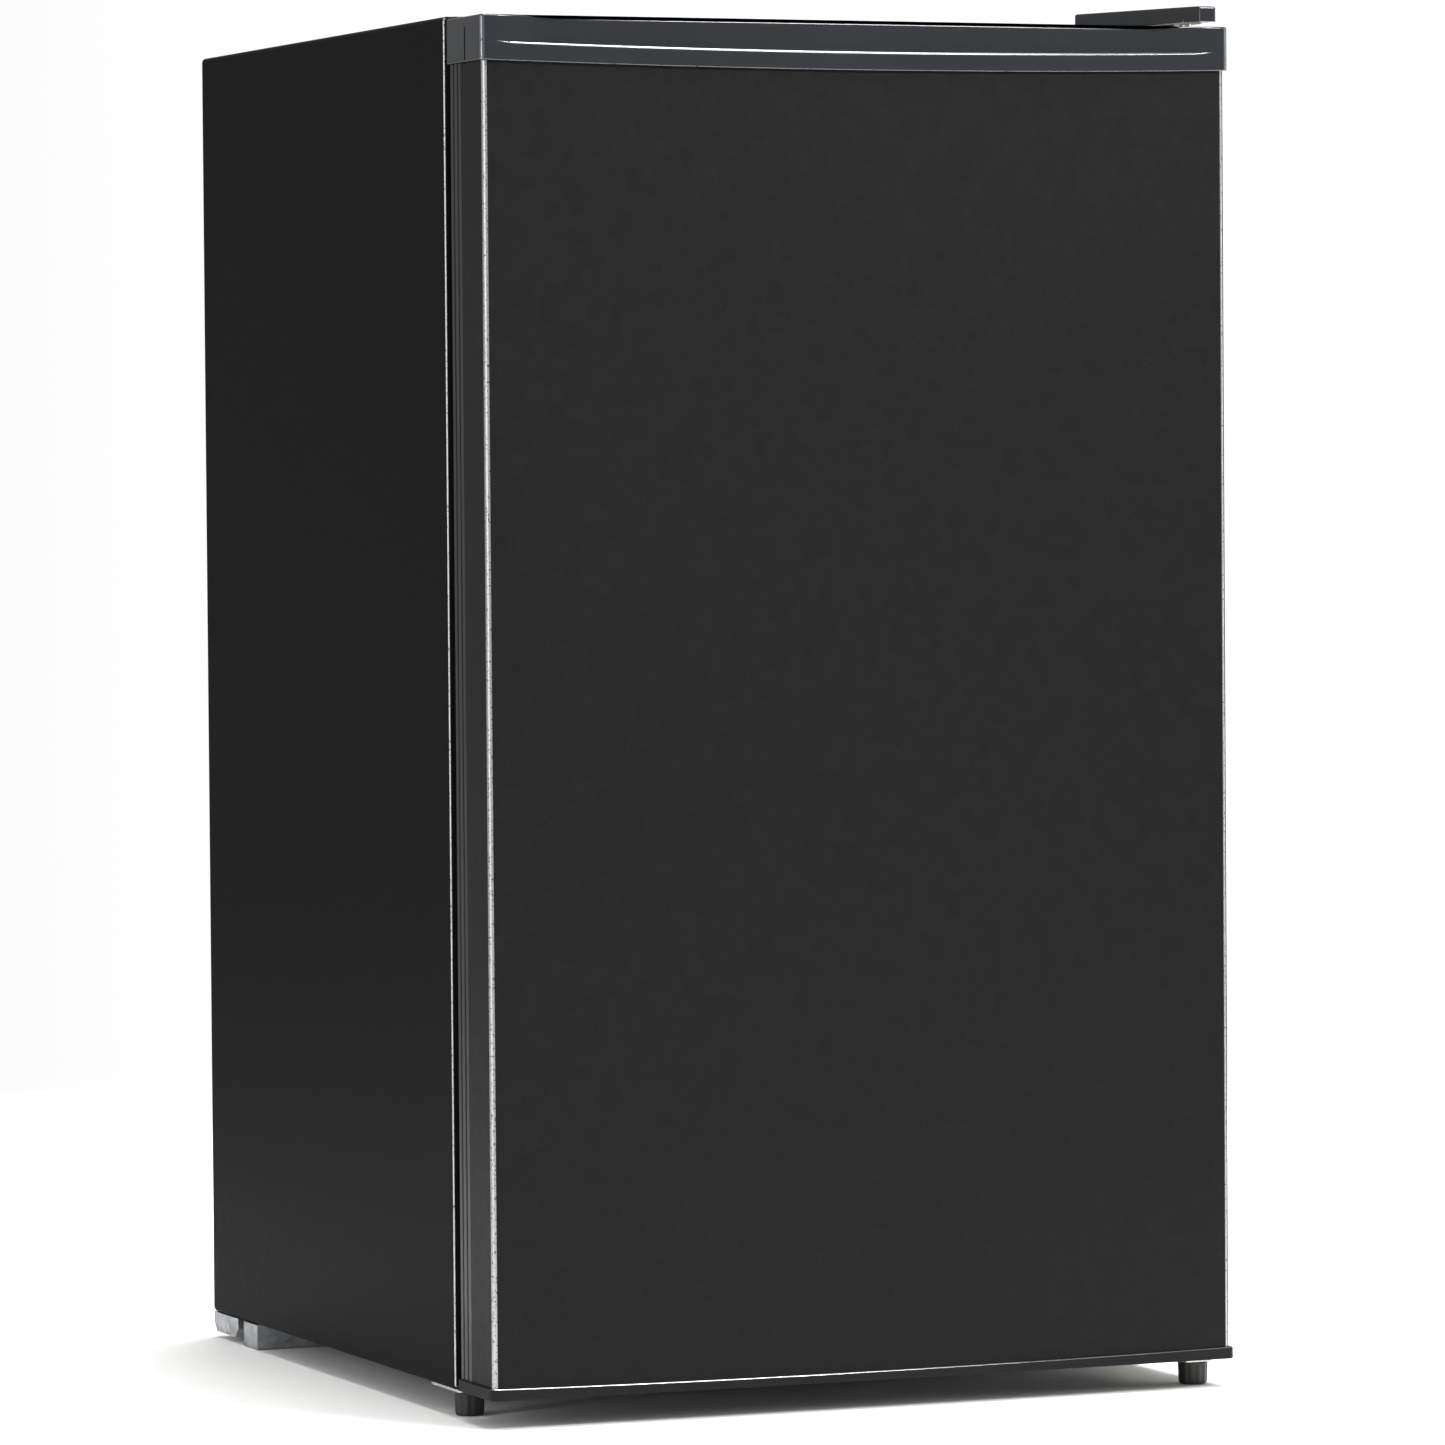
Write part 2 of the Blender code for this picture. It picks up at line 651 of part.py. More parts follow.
def freezer(group, flap_axis):
    corner = 0.010
    half, low, high = FREEZER_HALF, FREEZER_LOW, FREEZER_HIGH

    def tube(inset):
        r = corner - inset
        left, right = -half + corner, half - corner
        bottom, top = low + corner, high - corner
        return (
            arc((left, bottom), r, 180, 270, 3)
            + arc((right, bottom), r, 270, 360, 3)
            + arc((right, top), r, 0, 90, 3)
            + arc((left, top), r, 90, 180, 3)
        )

    box = prism("freezer_box", tube(0), "Y", FREEZER_FRONT, FREEZER_REAR, "aluminium", group)
    bore = prism("freezer_bore", tube(0.0015), "Y", FREEZER_FRONT - 0.01, FREEZER_REAR - 0.0015, None, group)
    combine(box, bore, "DIFFERENCE")

    front, back = 0.1080, FREEZER_FRONT - GAP
    frame = block("freezer_frame", (-0.196, front, 0.6465), (0.196, back, 0.7945), "white_plastic", group)
    carve(frame, ((-0.178, 0.05, 0.6685), (0.178, 0.2, 0.779)))
    ears = [((turn * 0.1930 - 0.0030, 0.0965, 0.6550), (turn * 0.1930 + 0.0030, front + 0.002, 0.6670))
            for turn in (-1, 1)]
    bm = bmesh.new()
    for low_corner, high_corner in ears:
        add_box(bm, low_corner, high_corner)
    combine(frame, solid("frame_ears", bm, None, group), "UNION")
    drill(frame, 0.0024, (FLAP_Y, FLAP_Z), "X", -0.3, 0.3, sides=16)

    t = FLAP_HALF_T
    outline = arc((FLAP_Y, FLAP_Z), t, 180, 360, 6) + [(FLAP_Y + t, 0.7900), (FLAP_Y - t, 0.7900)]
    flap = prism("freezer_flap", outline, "X", -0.1885, 0.1885, "white_plastic", flap_axis)
    profile = [(0.0020, -0.1955), (0.0020, 0.1955)]
    combine(flap, turned("flap_pins", profile, (FLAP_Y, FLAP_Z), "X", None, flap_axis, 16), "UNION")
    low, high = (-0.050, FLAP_Y - t - 0.0060, 0.7760), (0.050, FLAP_Y, 0.7810)
    combine(flap, block("flap_handle_lip", low, high, None, flap_axis), "UNION")

    ledge = FREEZER_LOW - 0.028
    tray = block("drip_tray", (-0.199, 0.1220, ledge + GAP), (0.199, 0.4020, 0.6500), "clear_plastic", group)
    carve(tray, ((-0.197, 0.1240, ledge + 0.0023), (0.197, 0.4000, 0.7)))


# Shelves and drawer


def shelves(group):
    for name, level_z in SHELF_LEVELS.items():
        low = level_z + GAP
        corners = ((-0.199, 0.1085, low), (0.199, 0.4000, low + 0.004))
        block(f"{name}_shelf_glass", *corners, "shelf_glass", group)
        corners = ((-0.199, 0.1000, low), (0.199, 0.1082, low + 0.010))
        block(f"{name}_shelf_trim", *corners, "white_plastic", group, bevel=0.001)
    low = IN_STEP_Z + GAP
    block("crisper_cover_glass", (-0.199, 0.1085, low), (0.199, 0.4160, low + 0.004), "shelf_glass", group)
    corners = ((-0.199, 0.1000, low), (0.199, 0.1082, low + 0.008))
    block("crisper_cover_trim", *corners, "white_plastic", group, bevel=0.001)


def crisper(axis):
    low, high = (-0.192, 0.1080, IN_FLOOR + GAP), (0.192, 0.2680, 0.2300)
    drawer = block("crisper_drawer", low, high, "clear_plastic", axis)
    carve(drawer, ((-0.1895, 0.1105, IN_FLOOR + 0.0028), (0.1895, 0.2655, 0.3)))
    grip = block("crisper_grip", (-0.060, 0.1000, 0.2210), (0.060, 0.1090, 0.2260), None, axis)
    combine(drawer, grip, "UNION")


def thermostat(group, knob_axis):
    housing = block(
        "thermostat_housing",
        (0.1800, KNOB_Y - 0.040, KNOB_Z - 0.026),
        (IN_HALF - GAP, KNOB_Y + 0.040, KNOB_Z + 0.026),
        "white_plastic",
        group,
    )
    drill(housing, 0.0034, (KNOB_Y, KNOB_Z), "X", 0.17, 0.1900)
    knob = [(0.0150, 0.1640), (0.0165, 0.1655), (0.0180, 0.1797), (0.0030, 0.1797), (0.0030, 0.1890)]
    turned("thermostat_knob", knob, (KNOB_Y, KNOB_Z), "X", "white_plastic", knob_axis, sides=28)
    route = [
        (0.1900, KNOB_Y + 0.0403, KNOB_Z),
        (0.1900, 0.4080, KNOB_Z),
        (0.1900, 0.4080, 0.7000),
        (0.1500, 0.4080, 0.7200),
    ]
    pipe("sensor_tube", rounded_route(route, 0.02), 0.0012, "copper", group, sides=1)


# Compressor compartment


def compressor(group):
    centre = (COMP_X, COMP_Y)
    shell = [
        (0.020, 0.0362),
        (0.048, 0.0390),
        (0.058, 0.0520),
        (COMP_R, 0.0700),
        (COMP_R, 0.0940),
        (0.0625, 0.0945),
        (0.0625, 0.0985),
        (COMP_R, 0.0990),
        (COMP_R, 0.1250),
        (0.055, 0.1450),
        (0.042, 0.1550),
        (0.015, 0.1580),
    ]
    turned("compressor_shell", shell, centre, "Z", "black_enamel", group, sides=32)
    spots = [(COMP_X + a * 0.070, COMP_Y + b * 0.045) for a in (-1, 1) for b in (-1, 1)]
    plate = block(
        "compressor_foot_plate",
        (COMP_X - 0.080, COMP_Y - 0.055, 0.0336),
        (COMP_X + 0.080, COMP_Y + 0.055, 0.0358),
        "black_enamel",
        group,
    )
    for number, spot in enumerate(spots, 1):
        tool = turned(f"plate_hole_{number}", [(0.0040, 0.03), (0.0040, 0.04)], spot, "Z", None, group, 12)
        combine(plate, tool, "DIFFERENCE")
        ring = [(0.0036, 0.0184), (0.0095, 0.0184), (0.0075, 0.0260), (0.0095, 0.0333), (0.0036, 0.0333)]
        turned(f"rubber_mount_{number}", ring, spot, "Z", "black_rubber", group, sides=16, ring=True)

    low, high = (0.0040, 0.3560, 0.0700), (0.0340, 0.4120, 0.1300)
    box = block("relay_cover", low, high, "black_matt_plastic", group, bevel=0.003)
    drill(box, 0.0043, (0.0190, 0.1000), "Y", 0.397, 0.43, sides=16)
    gland = [(0.0040, 0.4020), (0.0040, 0.4123), (0.0070, 0.4123)]
    gland += [(0.0060, 0.4200), (0.0025, 0.4200), (0.0025, 0.4020)]
    turned("cord_inlet_gland", gland, (0.0190, 0.1000), "Y", "black_rubber", group, sides=16, ring=True)

    low, high = (-0.115, 0.330, 0.1590), (-0.005, 0.440, 0.1790)
    tray = block("evaporation_tray", low, high, "black_matt_plastic", group)
    carve(tray, ((-0.113, 0.332, 0.1610), (-0.007, 0.438, 0.2)))


def condenser(group):
    """A tube folded into level runs behind the back panel, and the lines that join it to the compressor."""
    points = []
    turn_r = COIL_PITCH / 2
    for run in range(COIL_RUNS):
        z = COIL_LOW + run * COIL_PITCH
        direction = 1 if run % 2 == 0 else -1
        end = direction * (COIL_HALF - turn_r)
        points += [(-end, COIL_Y, z), (end, COIL_Y, z)]
        if run < COIL_RUNS - 1:
            for i in range(1, 6):
                t = pi * i / 6
                points.append((end + direction * turn_r * sin(t), COIL_Y, z + turn_r - turn_r * cos(t)))
    y0 = CAB_DEPTH + GAP
    for side, x in (("left", -0.150), ("right", 0.150)):
        rail = block(
            f"condenser_bracket_{side}",
            (x - 0.008, COIL_Y - 0.0045, COIL_LOW - 0.012),
            (x + 0.008, COIL_Y - 0.0030, COIL_LOW + (COIL_RUNS - 1) * COIL_PITCH + 0.012),
            "black_enamel",
            group,
        )
        for z in (0.275, 0.520, 0.745):
            weld(rail, ((x - 0.008, y0, z), (x + 0.008, COIL_Y - 0.0035, z + 0.012)))

    drier_x = -0.200
    drier = [(0.0030, 0.100), (0.0085, 0.110), (0.0085, 0.160), (0.0030, 0.170)]
    turned("filter_drier", drier, (drier_x, 0.448), "Z", "copper", group, sides=14)
    lead = [
        (drier_x, 0.4480, 0.1705),
        (drier_x, 0.4480, 0.1800),
        (drier_x, COIL_Y, 0.2000),
        (drier_x, COIL_Y, COIL_LOW),
        points[0],
    ]
    coil = rounded_route(lead, 0.010)[:-1] + [Vector(p) for p in points[1:]]
    pipe("condenser_coil", coil, COIL_R, "black_enamel", group, sides=1)


def refrigerant_lines(group):
    discharge = [
        (0.0050, 0.4220, 0.1400),
        (0.0400, 0.4270, 0.1400),
        (0.1500, 0.4370, 0.1500),
        (0.2150, 0.4470, 0.1650),
        (0.2150, COIL_Y, 0.2000),
        (0.2150, COIL_Y, COIL_LOW + (COIL_RUNS - 1) * COIL_PITCH),
        (COIL_HALF - COIL_PITCH / 2 + GAP, COIL_Y, COIL_LOW + (COIL_RUNS - 1) * COIL_PITCH),
    ]
    pipe("discharge_line", rounded_route(discharge, 0.02), 0.0024, "copper", group, sides=1)
    suction = [
        (-0.1180, 0.4120, 0.1180),
        (-0.1500, 0.4220, 0.1180),
        (-0.1650, 0.4420, 0.1500),
        (-0.1650, 0.4680, 0.2000),
        (-0.1650, 0.4680, 0.6400),
        (-0.1650, 0.4640, 0.6700),
    ]
    pipe("suction_line", rounded_route(suction, 0.02), 0.0035, "copper", group, sides=2)
    capillary = [
        (-0.2000, 0.4480, 0.0990),
        (-0.2000, 0.4480, 0.0850),
        (-0.1850, 0.4480, 0.0850),
        (-0.1850, 0.4480, 0.1700),
        (-0.1760, 0.4660, 0.1980),
        (-0.1760, 0.4660, 0.6400),
        (-0.1760, 0.4610, 0.6600),
    ]
    pipe("capillary_tube", rounded_route(capillary, 0.008), 0.0012, "copper", group, sides=1)


def main():
    clear_scene()
    frame = axis_empty("frame", (0, 0, 0))
    frame.location = (0, FRAME_Y, 0)
    door_axis = axis_empty("door_axis", (HINGE_X, HINGE_Y, 0), frame)
    flap_axis = axis_empty("flap_axis", (0, FLAP_Y, FLAP_Z), frame)
    drawer_axis = axis_empty("drawer_axis", (0, 0.108, IN_FLOOR), frame)
    knob_axis = axis_empty("knob_axis", (0.18, KNOB_Y, KNOB_Z), frame)
    left_foot_axis = axis_empty("left_foot_axis", (-0.2290, 0.0100, 0), frame)
    right_foot_axis = axis_empty("right_foot_axis", (HINGE_X, HINGE_Y, 0), frame)

    cabinet_wrapper(frame)
    sheet_panels(frame)
    foam_and_lining(frame)
    rear_support(frame)
    front_supports(frame, left_foot_axis, right_foot_axis)
    top_hinge(frame)
    door_shell(door_axis)
    door_filling(door_axis)
    door_racks(door_axis)
    freezer(frame, flap_axis)
    shelves(frame)
    crisper(drawer_axis)
    thermostat(frame, knob_axis)
    compressor(frame)
    condenser(frame)
    refrigerant_lines(frame)


main()
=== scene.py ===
# %% [markdown]
# # A compact refrigerator
#
# The model that comes with the frame works, but it is plain: square edges, one colour to a piece. This
# notebook gives it the surfaces of the real thing. A small refrigerator is a box of folded, painted sheet
# steel with foam behind it and a vacuum-formed white lining. Its door carries moulded plastic caps at the
# top and the bottom.
#
# Every piece below is drawn in the cabinet's own coordinates, as its drawing office would: x to the
# right, y backwards from the cabinet's front plane, z up from the floor.

# %% Load the frame
import json
from math import cos, pi, radians, sin

import bmesh
import bpy
from mathutils import Matrix, Vector


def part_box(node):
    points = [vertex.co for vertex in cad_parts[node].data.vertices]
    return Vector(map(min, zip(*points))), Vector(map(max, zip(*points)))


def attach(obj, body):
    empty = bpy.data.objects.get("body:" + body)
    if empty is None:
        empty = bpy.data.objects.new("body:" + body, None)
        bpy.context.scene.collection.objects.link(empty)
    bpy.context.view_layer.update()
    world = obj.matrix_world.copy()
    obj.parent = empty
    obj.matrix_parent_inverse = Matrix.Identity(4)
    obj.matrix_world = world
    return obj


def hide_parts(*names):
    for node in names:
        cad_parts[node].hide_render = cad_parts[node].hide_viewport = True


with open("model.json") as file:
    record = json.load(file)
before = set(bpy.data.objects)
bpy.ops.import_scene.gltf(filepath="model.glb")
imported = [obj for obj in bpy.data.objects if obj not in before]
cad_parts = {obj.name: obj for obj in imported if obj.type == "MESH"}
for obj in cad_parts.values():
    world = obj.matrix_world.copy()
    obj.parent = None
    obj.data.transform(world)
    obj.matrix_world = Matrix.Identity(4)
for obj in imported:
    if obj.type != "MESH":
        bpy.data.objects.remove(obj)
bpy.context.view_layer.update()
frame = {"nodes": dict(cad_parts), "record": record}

record = frame["record"]

# %% Measure what the frame gives
cabinet_low, cabinet_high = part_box("cabinet_wrapper")
FRONT_PLANE = cabinet_low.y
HALF = cabinet_high.x
DEPTH = cabinet_high.y - cabinet_low.y
CABINET_BOTTOM, CABINET_TOP = cabinet_low.z, cabinet_high.z
skin_low, skin_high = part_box("door_skin")
DOOR_FRONT = FRONT_PLANE - skin_low.y - 0.003
BOW = 0.003
SKIN_BOTTOM, SKIN_TOP = skin_low.z, skin_high.z
CAP_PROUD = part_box("door_top_cap")[1].x - HALF
DOOR_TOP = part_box("door_top_cap")[1].z
DOOR_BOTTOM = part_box("door_bottom_cap")[0].z
GAP = 0.0003
print(f"cabinet {2 * HALF:.3f} x {DEPTH:.3f} m, from {CABINET_BOTTOM:.4f} to {CABINET_TOP:.4f} m")
print(f"the door's skin stands {DOOR_FRONT:.4f} m in front of the cabinet's front plane")

# %% [markdown]
# ## Camera
#
# A product picture is taken from a few metres away with a long lens, so that the box's edges stay nearly
# parallel. A short lens close by could frame it too, but it would splay the corners. The camera stands a
# little to the left of the door and looks down by two degrees. It is rolled by less than half a degree,
# as a camera on a hand-set tripod is.

# %% Place the camera
CAMERA_AT = (-1.7409, -4.0973, 0.5663)
YAW, PITCH, ROLL = 22.239, 1.978, 0.425
LENS, SENSOR = 182.0, 36.0

camera_data = bpy.data.cameras.new("camera")
camera_data.lens = LENS
camera_data.sensor_width = SENSOR
camera_data.clip_end = 60
camera = bpy.data.objects.new("camera", camera_data)
bpy.context.scene.collection.objects.link(camera)
turn = Matrix.Rotation(radians(-YAW), 4, "Z") @ Matrix.Rotation(radians(90 - PITCH), 4, "X")
turn = turn @ Matrix.Rotation(radians(-ROLL), 4, "Z")
camera.matrix_world = Matrix.Translation((CAMERA_AT[0], CAMERA_AT[1] + FRONT_PLANE, CAMERA_AT[2])) @ turn
bpy.context.scene.camera = camera
print(f"camera {abs(CAMERA_AT[1]):.1f} m in front of the cabinet, {LENS:.0f} mm lens")

# %% [markdown]
# ## Floor and light
#
# Black paint shows its surroundings more than its own colour, and the white lining burns out in light
# that the paint hardly notices. So the lamps are weak, and a bright surround does most of the work, as in
# a light tent. One lamp overhead whitens the floor without touching the upright faces. A strip at each
# side lights the edges, one high in front greys the door, and a small narrow one catches the ridge of the
# top cap. The surround is whitest behind the object and dimmer behind its left side, because that is the
# part the dark side panel mirrors. The floor is a disc that turns transparent towards its rim, so it
# meets the surround with no edge.

# %% Build the studio
def linear(colour, alpha=1.0):
    """An sRGB hex colour as the linear numbers that a shader takes."""
    parts = [int(colour[i:i + 2], 16) / 255 for i in (1, 3, 5)]
    return (*(c / 12.92 if c <= 0.04045 else ((c + 0.055) / 1.055) ** 2.4 for c in parts), alpha)


def add(tree, kind, values=(), links=(), **settings):
    """Adds one shader node with its settings, its values and the sockets linked to it."""
    made = tree.nodes.new(kind)
    for key, value in settings.items():
        setattr(made, key, value)
    for key, value in dict(values).items():
        made.inputs[key].default_value = value
    for key, socket in dict(links).items():
        tree.links.new(socket, made.inputs[key])
    return made


def softbox(name, at, aim, size, watts, spread=180, heading=0):
    """A rectangular lamp, turned by its heading so that its long side follows the camera's direction."""
    data = bpy.data.lights.new(name, "AREA")
    data.shape = "RECTANGLE"
    data.spread = radians(spread)
    data.size, data.size_y = size
    data.energy = watts
    lamp = bpy.data.objects.new(name, data)
    bpy.context.scene.collection.objects.link(lamp)
    lamp.location = at
    facing = (Vector(aim) - Vector(at)).to_track_quat("-Z", "Y").to_matrix().to_4x4()
    lamp.rotation_euler = (Matrix.Rotation(radians(-heading), 4, "Z") @ facing).to_euler()
    return lamp


MIDDLE = (0, 0, 0.42)  # the middle of the cabinet's front
softbox("floor light", (0.55, 0.35, 3.2), (0.55, 0.35, 0), (1.6, 3.2), 46, spread=60, heading=YAW)
softbox("left strip", (-3.0, -1.1, 0.7), MIDDLE, (0.5, 1.8), 24)
softbox("right strip", (3.4, -0.7, 0.7), MIDDLE, (0.6, 1.8), 22)
softbox("high right front", (1.9, -3.6, 2.3), MIDDLE, (1.6, 1.2), 5)
softbox("ridge light", (1.15, -2.0, 2.55), (0, -0.07, 0.82), (0.9, 0.5), 9, spread=50)

bpy.context.scene.view_settings.view_transform = "Standard"

world = bpy.data.worlds.new("studio")
world.use_nodes = True
sky = world.node_tree
sky.nodes.clear()
BACKDROP = Vector((sin(radians(YAW)), cos(radians(YAW)), 0))  # straight behind the object
FLAG = Vector((-BACKDROP.x, BACKDROP.y, 0))  # behind its left side
WALL_GLOW, BACKDROP_GLOW, FLAG_SHARE = 0.70, 1.08, 0.55
facing = add(sky, "ShaderNodeTexCoord").outputs["Generated"]
toward = add(sky, "ShaderNodeVectorMath", {1: BACKDROP}, {0: facing}, operation="DOT_PRODUCT")
backdrop = add(sky, "ShaderNodeMapRange",
               {"From Min": 0.955, "From Max": 0.985, "To Min": WALL_GLOW, "To Max": BACKDROP_GLOW},
               {"Value": toward.outputs["Value"]}, interpolation_type="SMOOTHSTEP")
flattened = add(sky, "ShaderNodeVectorMath", {1: (1, 1, 0.45)}, {0: facing}, operation="MULTIPLY")
level = add(sky, "ShaderNodeVectorMath", (), {0: flattened.outputs["Vector"]}, operation="NORMALIZE")
aside = add(sky, "ShaderNodeVectorMath", {1: FLAG}, {0: level.outputs["Vector"]}, operation="DOT_PRODUCT")
shade = add(sky, "ShaderNodeMapRange",
            {"From Min": 0.70, "From Max": 0.95, "To Min": 1.0, "To Max": FLAG_SHARE},
            {"Value": aside.outputs["Value"]}, interpolation_type="SMOOTHSTEP")
strength = add(sky, "ShaderNodeMath", (), {0: backdrop.outputs["Result"], 1: shade.outputs["Result"]},
               operation="MULTIPLY")
glow = add(sky, "ShaderNodeBackground", {"Color": linear("#ffffff")}, {"Strength": strength.outputs["Value"]})
add(sky, "ShaderNodeOutputWorld", (), {"Surface": glow.outputs["Background"]})
bpy.context.scene.world = world

floor_tree = bpy.data.materials.new("white studio paper")
floor_tree.use_nodes = True
paper = floor_tree.node_tree
pulp = add(paper, "ShaderNodeTexNoise", {"Scale": 140.0, "Detail": 3.0})
tint = add(paper, "ShaderNodeMix", {6: linear("#f4f4f3"), 7: linear("#fbfbfa")},
           {0: pulp.outputs["Fac"]}, data_type="RGBA")
paper.links.new(tint.outputs[2], paper.nodes["Principled BSDF"].inputs["Base Color"])
paper.nodes["Principled BSDF"].inputs["Roughness"].default_value = 0.9
FLOOR_AT, FLOOR_RADIUS = (0.35, 0.0, 0), 2.3
ground = add(paper, "ShaderNodeTexCoord").outputs["Object"]
reach = add(paper, "ShaderNodeVectorMath", (), {0: ground}, operation="LENGTH")
fade = add(paper, "ShaderNodeMapRange",
           {"From Min": FLOOR_RADIUS * 0.55, "From Max": FLOOR_RADIUS, "To Min": 1.0, "To Max": 0.0},
           {"Value": reach.outputs["Value"]}, interpolation_type="SMOOTHSTEP")
paper.links.new(fade.outputs["Result"], paper.nodes["Principled BSDF"].inputs["Alpha"])

bm = bmesh.new()
bmesh.ops.create_circle(bm, cap_ends=True, segments=96, radius=FLOOR_RADIUS)
floor_mesh = bpy.data.meshes.new("floor")
bm.to_mesh(floor_mesh)
bm.free()
floor_mesh.materials.append(floor_tree)
floor = bpy.data.objects.new("floor", floor_mesh)
floor.location = FLOOR_AT
bpy.context.scene.collection.objects.link(floor)
print("studio:", len(bpy.data.lights), "soft lights")

# %% [markdown]
# ## How the finishes are made
#
# Each finish is a Principled shader with two kinds of pattern. Cloudy noise moves the colour and the
# gloss a little, as handling and moulding do. A finer noise gives the relief, through a bump node that
# works in metres. The sizes are written in millimetres and turned into texture scales by one division, so
# a grain of 0.5 mm stays 0.5 mm on every piece.

# %% Shared recipe for a finish
MM = 0.001
looks = {}


def scale_for(size_mm):
    """The texture scale at which a pattern repeats about every size_mm."""
    return 1 / (size_mm * MM)


def surface(slot, name, shader_values):
    """A new material for one of the record's finishes, with its shader and its object coordinates."""
    made = bpy.data.materials.new(name)
    made.use_nodes = True
    tree = made.node_tree
    shader = tree.nodes["Principled BSDF"]
    for key, value in shader_values.items():
        shader.inputs[key].default_value = value
    looks[slot] = made
    place = add(tree, "ShaderNodeTexCoord").outputs["Object"]
    return tree, shader, place


def clouded(tree, shader, place, colours, patch_mm, gloss):
    """Colour and roughness that drift over patches of a real size."""
    cloud = add(tree, "ShaderNodeTexNoise", {"Scale": scale_for(patch_mm), "Detail": 4.0}, {"Vector": place})
    drift = add(tree, "ShaderNodeMapRange", {"From Min": 0.3, "From Max": 0.7},
                {"Value": cloud.outputs["Fac"]})
    tint = add(tree, "ShaderNodeMix", {6: linear(colours[0]), 7: linear(colours[1])},
               {0: drift.outputs["Result"]}, data_type="RGBA")
    tree.links.new(tint.outputs[2], shader.inputs["Base Color"])
    rough = add(tree, "ShaderNodeMapRange", {"To Min": gloss[0], "To Max": gloss[1]},
                {"Value": drift.outputs["Result"]})
    tree.links.new(rough.outputs["Result"], shader.inputs["Roughness"])
    return tint


def grained(tree, shader, place, grain_mm, depth_mm):
    """Fine relief: a noise of that grain, pressed in by that depth."""
    grain = add(tree, "ShaderNodeTexNoise", {"Scale": scale_for(grain_mm), "Detail": 2.0}, {"Vector": place})
    relief = add(tree, "ShaderNodeBump", {"Distance": depth_mm * MM, "Strength": 1.0},
                 {"Height": grain.outputs["Fac"]})
    tree.links.new(relief.outputs["Normal"], shader.inputs["Normal"])


# %% [markdown]
# ## Textured paint: cabinet and door
#
# The cabinet and the door are polyester-coated steel with a fine wrinkle in the paint. The wrinkle breaks
# a reflection into specks, so that a lamp shows as a soft grey; the sparkling edges are painted highlights,
# given further on. The real wrinkle is about 0.4 mm across. It is drawn at 0.9 mm, because at its true size
# it would average out to nothing in a picture of the whole appliance. A few flakes are lighter than the rest.
# The specular level is far below a typical paint's: at the usual level the side panel mirrored the bright
# floor more than the real one does.

# %% Textured paint
def wrinkle_paint(slot, name, colours, speck, gloss, mirror_level):
    tree, shader, place = surface(slot, name, {"IOR": 1.5, "Specular IOR Level": mirror_level})
    tint = clouded(tree, shader, place, colours, 9.0, gloss)
    cells = add(tree, "ShaderNodeTexVoronoi", {"Scale": scale_for(1.3)}, {"Vector": place})
    flake = add(tree, "ShaderNodeMapRange", {"From Min": 0.16, "From Max": 0.06, "To Max": 0.55},
                {"Value": cells.outputs["Distance"]})
    dotted = add(tree, "ShaderNodeMix", {7: linear(speck)},
                 {0: flake.outputs["Result"], 6: tint.outputs[2]}, data_type="RGBA")
    tree.links.new(dotted.outputs[2], shader.inputs["Base Color"])
    grained(tree, shader, place, 0.9, 0.035)


wrinkle_paint("cabinet_steel", "textured black polyester paint on steel", ("#131313", "#161616"), "#303031",
              (0.42, 0.48), 0.015)
wrinkle_paint("door_steel", "fine-textured black pre-coated steel", ("#171717", "#1a1a1a"), "#4c4c4c",
              (0.40, 0.46), 0.07)
print("paint:", looks["cabinet_steel"].name, "/", looks["door_steel"].name)

# %% [markdown]
# ## Moulded plastics
#
# The door's caps and the hinge cover are black ABS from a polished mould: smooth, with a clear highlight
# and a very slight orange peel. The feet and the relay cover are polypropylene, which is waxier and
# duller. The seal is soft PVC, almost without gloss. Inside, the lining is white high-impact polystyrene,
# glossy where it faced the air while it was formed, and the racks and the drawer are clear polystyrene.

# %% Moulded plastics
def moulded(slot, name, colours, gloss, grain_mm, depth_mm, values=None):
    tree, shader, place = surface(slot, name, {"IOR": 1.5, **(values or {})})
    clouded(tree, shader, place, colours, 45.0, gloss)
    grained(tree, shader, place, grain_mm, depth_mm)


moulded("cap_plastic", "black ABS from a polished mould", ("#14171a", "#181b1f"), (0.15, 0.20), 6.0, 0.010)
moulded("matt_cap", "black ABS from a sparked mould", ("#101112", "#141516"), (0.50, 0.58), 1.2, 0.020,
        {"Specular IOR Level": 0.15})
moulded("trim_plastic", "extruded black PVC", ("#121213", "#171718"), (0.34, 0.42), 1.6, 0.010)
moulded("foot_plastic", "black-brown polypropylene", ("#0f0c0a", "#15110d"), (0.42, 0.55), 1.2, 0.020)
moulded("relay_plastic", "black polypropylene", ("#141414", "#1b1b1b"), (0.45, 0.55), 1.2, 0.020)
moulded("seal_rubber", "soft black PVC seal", ("#101010", "#151515"), (0.55, 0.66), 2.0, 0.015)
moulded("mount_rubber", "black moulded rubber", ("#111111", "#181817"), (0.65, 0.80), 0.9, 0.030)
moulded("white_lining", "vacuum-formed white HIPS", ("#eef0f0", "#f1f3f2"), (0.25, 0.29), 9.0, 0.006)
moulded("white_plastic", "moulded white ABS", ("#e9ebeb", "#f1f2f2"), (0.30, 0.40), 1.4, 0.012)
moulded("knob", "moulded light grey ABS", ("#d9dbdd", "#e2e4e5"), (0.32, 0.42), 1.4, 0.012)
moulded("nylon", "natural nylon", ("#dcd8c8", "#e6e2d4"), (0.38, 0.48), 1.0, 0.010)
moulded("foam", "rigid polyurethane foam", ("#d9c48a", "#e6d6a4"), (0.85, 0.95), 1.1, 0.200)
print("paints and plastics so far:", len(looks))


# %% [markdown]
# ## Clear pieces
#
# Tempered shelf glass has a green tint that gathers at its edges. Clear polystyrene is brighter, with a
# faint blue toner and a hint of ripple from the mould. Both are transmission shaders with the usual IOR
# of the material, and the ripple is a gentle bump.

